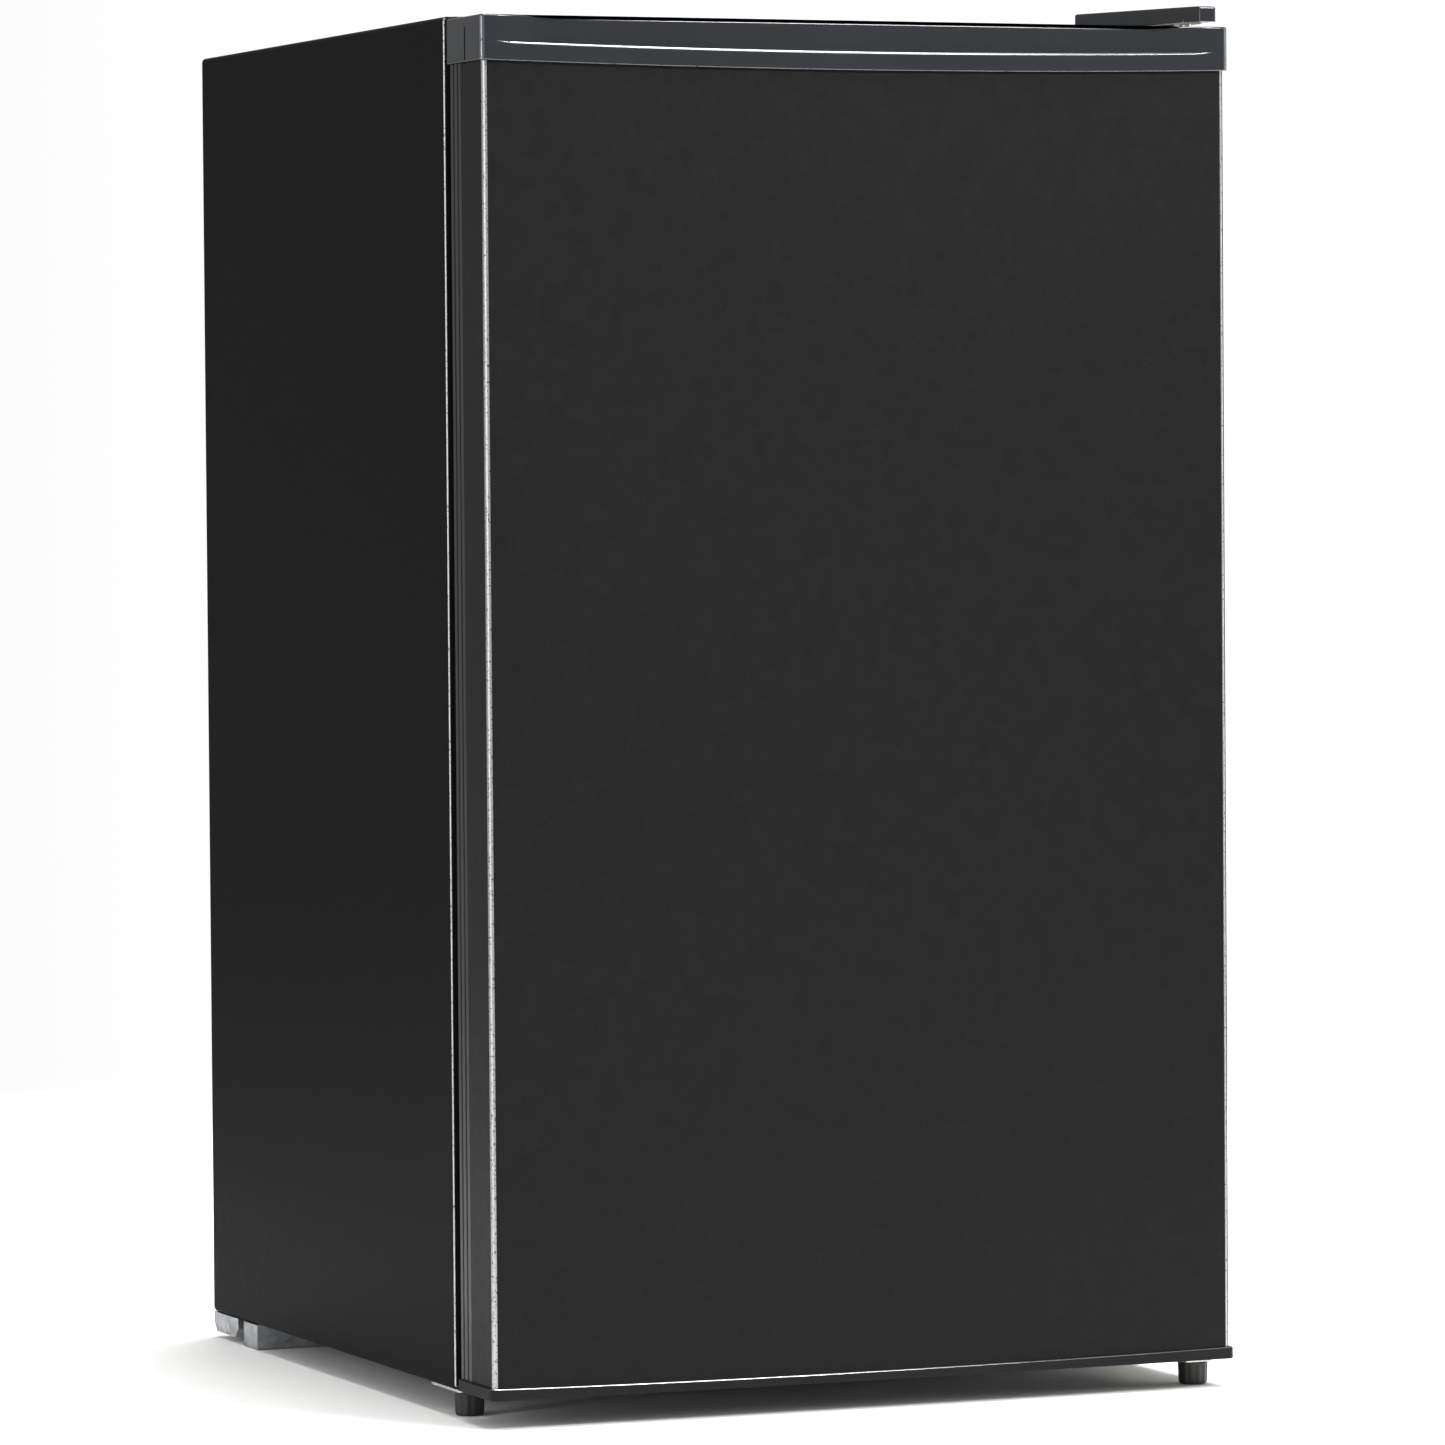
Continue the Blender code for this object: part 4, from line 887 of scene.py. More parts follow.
# %% Hinge cover and plugs
COVER_PLAN = [(0.1895, 0.036), (0.2278, -0.0585), (0.2290, -0.0600), (0.2385, -0.0600), (0.2402, -0.0585),
              (0.2405, 0.034), (0.2390, 0.036)]
COVER_BASE, COVER_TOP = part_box("hinge_cover")[0].z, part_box("hinge_cover")[1].z
COVER_ROUND = 0.0016
middle = Vector((0.2235, 0.000))


def cover_level(inset, z):
    """The plan moved in towards its middle."""
    return [(*(Vector(p) + (middle - Vector(p)).normalized() * inset), z) for p in COVER_PLAN]


bm = bmesh.new()
levels = [cover_level(0.0018, COVER_BASE), cover_level(0.0, COVER_BASE)]
for up, over in quarter(5):
    levels.append(cover_level(COVER_ROUND * over, COVER_TOP - COVER_ROUND * (1 - up)))
loft(bm, levels)
piece("hinge_cover_moulding", bm, "cap_plastic", "cabinet", "hinge_cover", crease=30)

bm = bmesh.new()
for x, y in ((-0.2120, 0.018), (-0.2260, 0.018), (-0.2190, 0.006)):
    turned(bm, [(0.0045, CABINET_TOP - 0.001), (0.0045, CABINET_TOP + 0.0006), (0.0040, CABINET_TOP + 0.0010),
                (0.0010, CABINET_TOP + 0.0012)], (x, y), "z", 24)
piece("hinge_hole_plugs", bm, "cap_plastic", "cabinet")
print(f"hinge cover {COVER_TOP - COVER_BASE:.4f} m high")

# %% [markdown]
# ## Feet, rails and lower hinge
#
# The two front feet are levelling feet: a moulded cup with shallow flutes to turn it by. The right one
# screws on to the end of the lower hinge pin. At the back the appliance stands on a galvanised rail,
# folded to a channel, with a second bar behind it that carries the compressor plate. Their ends are open,
# and the rail has round holes through its web.

# %% Feet
FOOT_FLUTES = 12


def fluted_foot(name, node, body, centre):
    """A tapered cup whose wall waves in and out by 0.25 mm, twelve times round."""
    low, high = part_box(node)
    top = 0.0146 if "left" in node else high.z
    bm = bmesh.new()
    loops = []
    for r, z, wave in ((0.0074, 0.0, 0), (0.0083, 0.0006, 0.4), (0.0086, 0.0020, 1),
                       (0.0090, top - 0.0022, 1), (0.0093, top - 0.0014, 0), (0.0093, top - 0.0003, 0),
                       (0.0090, top, 0)):
        spin = [2 * pi * i / 96 for i in range(96)]
        reach = [r + 0.00025 * wave * cos(FOOT_FLUTES * t) for t in spin]
        loops.append([(centre[0] + k * cos(t), centre[1] + k * sin(t), z) for t, k in zip(spin, reach)])
    loft(bm, loops)
    if "left" in node:
        turned(bm, [(0.0035, top - 0.001), (0.0035, high.z)], centre, "z", 20)
    return piece(name, bm, "foot_plastic", body, node)


fluted_foot("left_levelling_foot", "front_left_foot", "front_left_foot", (-0.2290, 0.0100))
fluted_foot("right_levelling_foot", "front_right_foot", "front_right_foot", (hinge_x, hinge_y))
print("feet 18.6 mm across")

# %% [markdown]
# ## Rails and screws
#
# A folded strip is one outline in side view, given thickness on its inner side and drawn out along x.
# Solidify would do the same, but working out each inner corner keeps the folds sharp where two legs meet.

# %% Rails and screws
rail_low, rail_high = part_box("base_rail")
bar_low, bar_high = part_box("rear_crossbar")


def channel(bm, outline, thickness, start, end):
    """A folded strip along x, from its outline in (y, z), with its thickness on the inner side."""
    points = [Vector(p) for p in outline]
    legs = [(b - a).normalized() for a, b in zip(points, points[1:])]
    sides = [Vector((-leg.y, leg.x)) for leg in legs]
    back = [points[0] + sides[0] * thickness]
    for corner, one, two in zip(points[1:], sides, sides[1:]):
        back.append(corner + (one + two) * thickness / (1 + one.dot(two)))
    back.append(points[-1] + sides[-1] * thickness)
    loft(bm, [[(x, p.x, p.y) for p in points + back[::-1]] for x in (start, end)])


y0, y1 = rail_low.y - FRONT_PLANE, rail_high.y - FRONT_PLANE
RAIL_ROUND = 0.0022
web = [(y0, rail_high.z)] + arc((y0 + RAIL_ROUND, RAIL_ROUND), RAIL_ROUND, 180, 270, 5)
web += arc((y1 - RAIL_ROUND, RAIL_ROUND), RAIL_ROUND, 270, 360, 5) + [(y1, rail_high.z)]
bm = bmesh.new()
ZINC_SHEET = 0.0012
channel(bm, web, ZINC_SHEET, rail_low.x, rail_high.x)
for side in (-1, 1):
    for x, deep in ((0.2000, 0.0012), (0.1900, 0.0010)):
        box(bm, (side * x - 0.0016, y0 - deep * 0.4, 0.0024),
            (side * x + 0.0016, y0 + 0.001, rail_high.z), 0.0004)
    turned(bm, [(0.0040, y0 - 0.0002), (0.0040, y0 + 0.0002), (0.0026, y0 + 0.0002), (0.0026, y0 - 0.0002)],
           (side * 0.2270, 0.0062), "y", 20, ring=True)
for start in (rail_low.x, rail_high.x - ZINC_SHEET):
    box(bm, (start, y0 + 0.0004, 0.0006), (start + ZINC_SHEET, y1 - 0.0004, rail_high.z - 0.0002), 0.0004)
piece("galvanised_rail", bm, "galvanised_steel", "cabinet", "base_rail")

bm = bmesh.new()
y0, y1 = bar_low.y - FRONT_PLANE, bar_high.y - FRONT_PLANE
slope, foot_z = 0.0060, bar_low.z
trough = [(y0, bar_high.z), (y0, foot_z + slope), (y0 + slope, foot_z), (y1 - slope, foot_z),
          (y1, foot_z + slope), (y1, bar_high.z)]
channel(bm, trough, ZINC_SHEET, bar_low.x, bar_high.x)
tab = [(y0 + 0.0006, bar_high.z - 0.0002), (y0 + 0.0006, foot_z + slope), (y0 + slope, foot_z + 0.0006),
       (y1 - slope, foot_z + 0.0006), (y1 - 0.0006, foot_z + slope), (y1 - 0.0006, bar_high.z - 0.0002)]
for start in (bar_low.x + 0.0002, bar_high.x - 0.0014):
    loft(bm, [[(x, y, z) for y, z in tab] for x in (start, start + ZINC_SHEET)])
piece("galvanised_bar", bm, "galvanised_steel", "cabinet", "rear_crossbar")

UNDER_SCREWS = ((-0.198, 0.030, 0.0152), (-0.214, 0.038, 0.0152), (0.196, 0.030, 0.0142),
                (0.226, 0.030, 0.0142), (0.212, 0.014, 0.0142))
bm = bmesh.new()
for at in UNDER_SCREWS:
    screw(bm, at, "z", -1)
for x in (-0.225, -0.075, 0.075, 0.225):
    screw(bm, (x, DEPTH, CABINET_TOP - 0.006), "y", 1, 0.0032)
for x, z in ((-0.236, 0.300), (-0.236, 0.560), (0.236, 0.300), (0.236, 0.560)):
    screw(bm, (x, DEPTH, z), "y", 1, 0.0032)
piece("steel_screws", bm, "zinc_steel", "cabinet")
print("two rails and", len(UNDER_SCREWS) + 8, "screws")

# %% [markdown]
# ## White lining
#
# The lining is one sheet of HIPS sucked over a mould, so it has no sharp corner anywhere: its walls meet
# in radii of about a centimetre, and a flat lip turns out at the front behind the cabinet's flange. Its
# floor steps up at the back to make room for the compressor. A rounded rectangle is swept from the lip to
# the back wall, and its lower edge rises where the step is. The shelf ledges are pressed out of the side
# walls.

# %% White lining
IN_HALF, IN_FLOOR, IN_ROOF, IN_BACK = 0.2015, 0.058, 0.7965, 0.418
STEP_FRONT, STEP_TOP = 0.274, 0.242
WALL = 0.0014
ROUND_IN = 0.012


def lining_loop(y, floor_z, grow, radius=ROUND_IN):
    half = IN_HALF + grow
    return [(x, y, z) for x, z in rounded(-half, half, floor_z - grow, IN_ROOF + grow, radius + grow, 5)]


def lining_walls(grow):
    """Loops from the front edge to the back wall, on the inside (grow 0) or the outside of the sheet."""
    loops = [lining_loop(y, IN_FLOOR, grow) for y in (0.0060, 0.100, STEP_FRONT - 0.014 - grow)]
    corner = STEP_FRONT - 0.012 + grow
    for t in (30, 60, 90):
        loops.append(lining_loop(corner - 0.012 * (1 - sin(radians(t))) + 0.010 * sin(radians(t)),
                                 IN_FLOOR + 0.012 * (1 - cos(radians(t))), grow))
    for t in (0, 30, 60, 90):
        loops.append(lining_loop(STEP_FRONT + grow + 0.008 * (1 - cos(radians(t))) - 0.001,
                                 STEP_TOP - 0.008 * (1 - sin(radians(t))), grow))
    for t in (0, 30, 60, 90):
        shrink = ROUND_IN * (1 - cos(radians(t)))
        deep = IN_BACK + grow - ROUND_IN * (1 - sin(radians(t)))
        half, low, high = IN_HALF + grow - shrink, STEP_TOP - grow + shrink * 0.4, IN_ROOF + grow - shrink
        plan = rounded(-half, half, low, high, max(ROUND_IN + grow - shrink, 0.004), 5)
        loops.append([(x, deep, z) for x, z in plan])
    return loops


LIP_HALF, LIP_LOW, LIP_HIGH = 0.2137, CABINET_BOTTOM + 0.0015, CABINET_TOP - 0.0283
bm = bmesh.new()
inner = lining_walls(0)[::-1]
mouth = [lining_loop(0.0060 - 0.0060 * sin(radians(t)), IN_FLOOR, 0.006 * (1 - cos(radians(t))))
         for t in (30, 60, 90)]
lip_front = [(x, 0.0, z) for x, z in rounded(-LIP_HALF, LIP_HALF, LIP_LOW, LIP_HIGH, 0.004, 5)]
lip_rear = [(x, WALL, z) for x, z in rounded(-LIP_HALF, LIP_HALF, LIP_LOW, LIP_HIGH, 0.004, 5)]
loft(bm, inner + mouth + [lip_front, lip_rear, lining_loop(WALL, IN_FLOOR, 0.0062)] + lining_walls(WALL)[1:])
for level_z in (0.545, 0.395, 0.627, STEP_TOP):
    rear = 0.372 if level_z > STEP_TOP else STEP_FRONT - 0.002
    for side in (-1, 1):
        ends = sorted((side * 0.1955, side * (IN_HALF + 0.0006)))
        box(bm, (ends[0], 0.100, level_z - 0.0055), (ends[1], rear, level_z), 0.0018, 3)
piece("hips_lining", bm, "white_lining", "cabinet", "inner_liner", crease=50)
print(f"lining {2 * IN_HALF:.3f} m wide inside, walls {WALL * 1000:.1f} mm")

# %% [markdown]
# ## Inner door panel
#
# The door's back is vacuum-formed too. A raised wall runs up each side to hold the racks, with shorter
# walls at the top and the bottom, and the panel turns down into the seal's groove round its edge. The
# walls taper a little so that the sheet lets go of its mould.

# %% Inner door panel
panel_low, panel_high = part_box("door_liner")
PANEL_HALF = panel_high.x
WALL_AT, WALL_REACH = 0.185, 0.046
bm = bmesh.new()
stack(bm, "y", ((-0.0140, 0.0002), (-0.0124, 0.0), (-DOOR_BACK, 0.0004)), (-PANEL_HALF, PANEL_HALF),
      (panel_low.z, panel_high.z), 0.004)
for side in (-1, 1):
    loops = []
    for y, wide, ends in ((-0.0125, 0.0052, 0.0), (-0.0095, 0.0049, 0.0012), (0.020, 0.0047, 0.005),
                          (WALL_REACH - 0.003, 0.0045, 0.012), (WALL_REACH - 0.0008, 0.0036, 0.0135),
                          (WALL_REACH, 0.0020, 0.0150)):
        plan = rounded(-wide, wide, 0.075 + ends, 0.780 - ends, wide * 0.9, 4)
        loops.append([(side * WALL_AT + x, y, z) for x, z in plan])
    loft(bm, loops)
for z in (0.080, 0.775):
    loops = []
    for y, thick_z in ((-0.0125, 0.0050), (-0.0095, 0.0048), (0.0170, 0.0044), (0.0192, 0.0034),
                       (0.0200, 0.0018)):
        plan = rounded(-0.1852, 0.1852, -thick_z, thick_z, thick_z * 0.9, 4)
        loops.append([(x, y, z + dz) for x, dz in plan])
    loft(bm, loops)
for z in (0.300, 0.560):
    box(bm, (-0.150, -0.0122, z - 0.004), (0.150, -0.0106, z + 0.004), 0.0012)
piece("inner_door_panel", bm, "white_lining", "door", "door_liner", crease=50)
print(f"door panel {2 * PANEL_HALF:.3f} m wide")

# %% [markdown]
# ## Trays, racks and the drawer
#
# Everything that holds food here is an injection-moulded tub: a floor, walls with draft, a rolled rim and
# round corners. One function draws a tub from its outer box. The racks get a second rail line, and the
# drawer a grip.

# %% Tubs
def tub(bm, low, high, wall, corner, draft=0.0, rim=0.0012):
    """An open tub: outside from the floor up, over the rim, and down the inside."""
    (x0, y0, z0), (x1, y1, z1) = low, high

    def ring(inset, z, r):
        plan = rounded(x0 + inset, x1 - inset, y0 + inset, y1 - inset, max(r, 0.0006), 5)
        return [(x, y, z) for x, y in plan]

    fillet = min(0.004, corner)
    loops = [ring(draft + fillet, z0, corner - fillet * 0.5)]
    loops += [ring(draft + fillet * (1 - sin(radians(t))), z0 + fillet * (1 - cos(radians(t))), corner)
              for t in (30, 60, 90)]
    loops += [ring(rim, z1 - 0.0035, corner), ring(0.0002, z1 - 0.0030, corner), ring(0, z1 - 0.0012, corner),
              ring(0.0004, z1 - 0.0003, corner), ring(0.0010, z1, corner)]
    inner = rim + wall
    loops += [ring(inner - 0.0004, z1, corner - wall), ring(inner, z1 - 0.0008, corner - wall)]
    loops += [ring(draft + wall + fillet * (1 - sin(radians(t))), z0 + wall + fillet * (1 - cos(radians(t))),
                   corner - wall) for t in (90, 60, 30)]
    loops.append(ring(draft + wall + fillet, z0 + wall, corner - wall - fillet * 0.5))
    loft(bm, loops)


def local(node):
    """A node's box in the cabinet's coordinates."""
    low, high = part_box(node)
    return Vector((low.x, low.y - FRONT_PLANE, low.z)), Vector((high.x, high.y - FRONT_PLANE, high.z))


for name in ("top", "middle", "bottom"):
    low, high = local(f"door_rack_{name}")
    bm = bmesh.new()
    tub(bm, low, high, 0.0020, 0.010, draft=0.0015)
    for z in (low.z + (high.z - low.z) * 0.45, low.z + (high.z - low.z) * 0.60):
        box(bm, (low.x + 0.014, high.y - 0.0022, z - 0.0010),
            (high.x - 0.014, high.y - 0.0006, z + 0.0010), 0.0005)
    piece(f"clear_rack_{name}", bm, "clear_plastic", "door", f"door_rack_{name}", crease=40)

low, high = local("drip_tray")
bm = bmesh.new()
tub(bm, low, high, 0.0020, 0.012, draft=0.004)
piece("clear_drip_tray", bm, "clear_plastic", "cabinet", "drip_tray", crease=40)

low, high = local("crisper_drawer")
bm = bmesh.new()
tub(bm, (low.x, 0.1080, low.z), high, 0.0024, 0.014, draft=0.006)
loops = []
for y, deep in ((0.1086, 0.0055), (0.1040, 0.0050), (0.1012, 0.0038), (0.1000, 0.0018)):
    loops.append([(x, y, z) for x, z in rounded(-0.060, 0.060, 0.2262 - deep, 0.2262, deep * 0.45, 4)])
loft(bm, loops)
piece("clear_crisper_drawer", bm, "clear_plastic", "crisper_drawer", "crisper_drawer", crease=40)

low, high = local("evaporation_tray")
bm = bmesh.new()
tub(bm, low, high, 0.0020, 0.010, draft=0.003)
piece("black_evaporation_tray", bm, "relay_plastic", "cabinet", "evaporation_tray", crease=40)

low, high = local("bottle_bar")
bm = bmesh.new()
stack(bm, "x", ((low.x, 0.0010), (low.x + 0.0015, 0.0), (high.x - 0.0015, 0.0), (high.x, 0.0010)),
      (low.y, high.y), (low.z, high.z), 0.0020)
piece("white_bottle_bar", bm, "white_plastic", "door", "bottle_bar", crease=40)
print("tubs: three racks, two trays, one drawer")

# %% [markdown]
# ## Shelves
#
# Each shelf is a sheet of tempered glass with its edges ground round, held at the front and the back by
# white trims. The front trim is a rounded nosing with a slot for the glass, and a low rib at the back
# stops things sliding off.

# %% Shelves
for name in ("upper_shelf", "lower_shelf", "crisper_cover"):
    low, high = local(f"{name}_glass")
    bm = bmesh.new()
    stack(bm, "z", ((low.z, 0.0010), (low.z + 0.0010, 0.0), (high.z - 0.0010, 0.0), (high.z, 0.0010)),
          (low.x, high.x), (low.y, high.y), 0.004)
    piece(f"{name}_pane", bm, "shelf_glass", "cabinet", f"{name}_glass", crease=60)

    low, high = local(f"{name}_trim")
    bm = bmesh.new()
    stack(bm, "x", ((low.x, 0), (high.x, 0)), (low.y, high.y), (low.z, high.z), 0.0030, 5)
    if name != "crisper_cover":
        box(bm, (low.x, 0.4002, low.z), (high.x, 0.4060, low.z + 0.014), 0.0015, 3)
    piece(f"{name}_nosing", bm, "white_plastic", "cabinet", f"{name}_trim", crease=40)
print("three panes with their nosings")

# %% [markdown]
# ## Freezer box
#
# The evaporator is two aluminium sheets bonded together, with a channel blown up between them for the
# refrigerant, and folded into a box. The channel shows as a raised, flattened line that snakes over the
# outside. A white frame closes its mouth, with a flap hinged at the bottom. It hangs from the roof on
# four plastic blocks.

# %% Freezer box
low, high = local("freezer_box")
FOIL = 0.0014
bm = bmesh.new()


def freezer_ring(y, inset):
    plan = rounded(low.x + inset, high.x - inset, low.z + inset, high.z - inset, 0.010 - inset, 6)
    return [(x, y, z) for x, z in plan]


loft(bm, [freezer_ring(high.y, 0), freezer_ring(low.y, 0), freezer_ring(low.y, FOIL),
          freezer_ring(high.y - FOIL, FOIL)])
for z in (low.z, high.z):
    snake = []
    for i in range(7):
        x = -0.150 + i * 0.050
        ends = (0.150, 0.372) if i % 2 == 0 else (0.372, 0.150)
        snake += [(x, ends[0], z), (x, ends[1], z)]
    tube(bm, bent(snake, 0.016), 0.0026, 8)
for side in (-1, 1):
    snake = []
    for i in range(4):
        z = low.z + 0.024 + i * 0.028
        ends = (0.150, 0.372) if i % 2 == 0 else (0.372, 0.150)
        snake += [(side * high.x, ends[0], z), (side * high.x, ends[1], z)]
    tube(bm, bent(snake, 0.012), 0.0026, 8)
piece("evaporator_box", bm, "aluminium", "cabinet", "freezer_box", crease=40)

low, high = local("freezer_frame")
bm = bmesh.new()
face, rear = 0.1080, high.y
outer = [rounded(low.x + i, high.x - i, 0.6465 + i, 0.7945 - i, 0.006, 4) for i in (0.0, 0.0006)]
opening = [rounded(-0.178 - i, 0.178 + i, 0.6685 - i, 0.779 + i, 0.008, 4) for i in (0.0, 0.0012)]
rings = ((rear, outer[0]), (face + 0.0008, outer[0]), (face, outer[1]), (face, opening[1]),
         (face + 0.0014, opening[0]), (rear, opening[0]))
loft(bm, [[(x, y, z) for x, z in ring] for y, ring in rings], ring=True)
for side in (-1, 1):
    ends = sorted((side * 0.1900, side * 0.1960))
    box(bm, (ends[0], 0.0965, 0.6550), (ends[1], face + 0.002, 0.6670), 0.0014, 3)
piece("freezer_mouth_frame", bm, "white_plastic", "cabinet", "freezer_frame", crease=40)

FLAP_Y, FLAP_Z, FLAP_T = 0.103, 0.661, 0.0042
bm = bmesh.new()
side_view = arc((FLAP_Y, FLAP_Z), FLAP_T, 180, 360, 8)
side_view += arc((FLAP_Y + FLAP_T - 0.0016, 0.7884), 0.0016, 0, 90, 3)
side_view += arc((FLAP_Y - FLAP_T + 0.0016, 0.7884), 0.0016, 90, 180, 3)
loops = []
for x, shrink in ((-0.1885, 0.80), (-0.1875, 1.0), (0.1875, 1.0), (0.1885, 0.80)):
    loops.append([(x, FLAP_Y + (y - FLAP_Y) * shrink, z) for y, z in side_view])
loft(bm, loops)
turned(bm, [(0.0017, -0.1955), (0.0020, -0.1950), (0.0020, 0.1950), (0.0017, 0.1955)],
       (FLAP_Y, FLAP_Z), "x", 16)
front = FLAP_Y - FLAP_T
loops = []
for y, deep in ((front + 0.0002, 0.0030), (front - 0.0030, 0.0026), (front - 0.0052, 0.0020),
                (front - 0.0060, 0.0010)):
    loops.append([(x, y, z) for x, z in rounded(-0.050, 0.050, 0.7785 - deep, 0.7785 + deep, deep * 0.8, 4)])
loft(bm, loops)
for z in (0.690, 0.700, 0.740, 0.750):
    box(bm, (-0.165, front - 0.0006, z - 0.0012), (0.165, front + 0.0010, z + 0.0012), 0.0005)
piece("freezer_door_flap", bm, "white_plastic", "freezer_flap", "freezer_flap", crease=40)

bm = bmesh.new()
for x in (-0.150, 0.150):
    for y in (0.160, 0.350):
        box(bm, (x - 0.010, y - 0.008, 0.7885), (x + 0.010, y + 0.008, IN_ROOF + 0.0004), 0.0015, 3)
piece("evaporator_hangers", bm, "white_plastic", "cabinet")
print("evaporator with", 4, "channels and", 4, "hangers")

# %% [markdown]
# ## Thermostat
#
# The thermostat sits in a white housing on the right wall, with five moulded ribs and a fluted dial. A
# dial needs marks: numbers from 0 to 7 round its face, raised by a fraction of a millimetre, and a
# pointer on the housing. Text objects turned into meshes give true numerals.

# %% Thermostat
low, high = local("thermostat_housing")
bm = bmesh.new()
KNOB_Y, KNOB_Z = 0.168, 0.590
case = ((high.x, 0.0), (low.x + 0.0060, 0.0006), (low.x + 0.0030, 0.0018), (low.x + 0.0008, 0.0040),
        (low.x, 0.0065))
stack(bm, "x", case, (low.y, high.y), (low.z, high.z), 0.007, 5)
for i in range(5):
    y = high.y - 0.0165 + i * 0.0026
    box(bm, (low.x - 0.0003, y - 0.0006, KNOB_Z - 0.012),
        (low.x + 0.0010, y + 0.0006, KNOB_Z + 0.012), 0.0003)
box(bm, (low.x - 0.0003, KNOB_Y - 0.0006, KNOB_Z + 0.0186),
    (low.x + 0.0010, KNOB_Y + 0.0006, KNOB_Z + 0.0220), 0.0003)
piece("thermostat_case", bm, "white_plastic", "cabinet", "thermostat_housing", crease=40)

bm = bmesh.new()
RIM = 0.0180
FLUTES = 30
loops = []
for r, x, wave in ((0.0148, 0.1640, 0), (0.0158, 0.1643, 0), (0.0165, 0.1655, 0.5), (0.0172, 0.1680, 1),
                   (0.0176, 0.1775, 1), (RIM, 0.1790, 0), (RIM, 0.1797, 0)):
    spin = [2 * pi * i / 120 for i in range(120)]
    reach = [r + 0.0003 * wave * cos(FLUTES * t) for t in spin]
    loops.append([(x, KNOB_Y + k * cos(t), KNOB_Z + k * sin(t)) for t, k in zip(spin, reach)])
loft(bm, loops)
box(bm, (0.1634, KNOB_Y - 0.0008, KNOB_Z + 0.0030), (0.1648, KNOB_Y + 0.0008, KNOB_Z + 0.0135), 0.0004)
piece("temperature_dial", bm, "knob", "thermostat_knob", "thermostat_knob", crease=40)

bm = bmesh.new()
NUMBER_SIZE = 0.0034
NUMBER_STEP = 38.5  # degrees, so that 0 to 7 spread over the 270 degrees of the turn
for number in range(8):
    angle = radians(90 + number * NUMBER_STEP)
    text = bpy.data.curves.new("numeral", "FONT")
    text.body = str(number)
    text.size = NUMBER_SIZE
    text.extrude = 0.00015
    text.align_x, text.align_y = "CENTER", "CENTER"
    text.resolution_u = 2
    holder = bpy.data.objects.new("numeral", text)
    mesh = holder.to_mesh()
    upright = Matrix.Rotation(angle - radians(90), 4, "X") @ Matrix.Translation((0.1640, 0, 0.0112))
    upright = upright @ Matrix.Rotation(radians(-90), 4, "Z") @ Matrix.Rotation(radians(90), 4, "X")
    mesh.transform(Matrix.Translation((0, KNOB_Y, KNOB_Z)) @ upright)
    bm.from_mesh(mesh)
    holder.to_mesh_clear()
    bpy.data.objects.remove(holder)
    bpy.data.curves.remove(text)
piece("dial_numerals", bm, "relay_plastic", "thermostat_knob")
print("dial marked 0 to 7")

# %% [markdown]
# ## Compressor bay
#
# The compressor is two pressed steel bowls welded round the middle, painted black after welding. Three
# copper stubs leave it. It stands on rubber mounts with a bolt through each. The bowls are one profile,
# turned round the upright axis, with the weld as a small step half way up.

# %% Compressor
COMP = (-0.060, 0.384)
COMP_R = 0.0600
profile = [(0.004, 0.0362), (0.030, 0.0366), (0.044, 0.0386), (0.0525, 0.0440), (0.0575, 0.0530),
           (COMP_R, 0.0680), (COMP_R, 0.0935), (0.0612, 0.0940), (0.0622, 0.0948), (0.0626, 0.0965),
           (0.0622, 0.0982), (0.0612, 0.0990), (COMP_R, 0.0996), (COMP_R, 0.1220)]
for t in (12, 24, 36, 48, 60, 70, 80):
    profile.append((COMP_R * cos(radians(t)), 0.1220 + 0.0355 * sin(radians(t))))
profile.append((0.003, 0.1578))
bm = bmesh.new()
turned(bm, profile, COMP, "z", 56)
for x, y in ((COMP[0] + 0.022, COMP[1] - 0.052), (COMP[0] - 0.030, COMP[1] - 0.048)):
    tube(bm, [(x, y, 0.118), (x, y - 0.020, 0.118), (x, y - 0.024, 0.124), (x, y - 0.024, 0.150)], 0.0032, 12)
piece("compressor_bowls", bm, "black_enamel", "cabinet", "compressor_shell", crease=40)

low, high = local("compressor_foot_plate")
bm = bmesh.new()
stack(bm, "z", ((low.z, 0.0004), (low.z + 0.0005, 0.0), (high.z - 0.0005, 0.0), (high.z, 0.0004)),
      (low.x, high.x), (low.y, high.y), 0.014, 6)
piece("compressor_feet", bm, "black_enamel", "cabinet", "compressor_foot_plate", crease=40)

bm = bmesh.new()
for a in (-1, 1):
    for b in (-1, 1):
        spot = (COMP[0] + a * 0.070, COMP[1] + b * 0.045)
        turned(bm, [(0.0070, 0.0360), (0.0070, 0.0370), (0.0030, 0.0371), (0.0030, 0.0182)], spot, "z", 24)
        turned(bm, [(0.0048, 0.0371), (0.0052, 0.0376), (0.0052, 0.0404), (0.0046, 0.0410)], spot, "z", 6)
        turned(bm, [(0.0026, 0.0400), (0.0026, 0.0440), (0.0020, 0.0446)], spot, "z", 16)
piece("mount_bolts", bm, "zinc_steel", "cabinet", crease=30)

bm = bmesh.new()
low, high = local("relay_cover")
stack(bm, "x", ((low.x, 0.0), (high.x - 0.0040, 0.0004), (high.x - 0.0014, 0.0016), (high.x, 0.0040)),
      (low.y, high.y), (low.z, high.z), 0.006, 5)
for z in (0.084, 0.116):
    box(bm, (high.x - 0.0010, 0.370, z - 0.0012), (high.x + 0.0006, 0.398, z + 0.0012), 0.0005)
piece("relay_housing", bm, "relay_plastic", "cabinet", "relay_cover", crease=40)

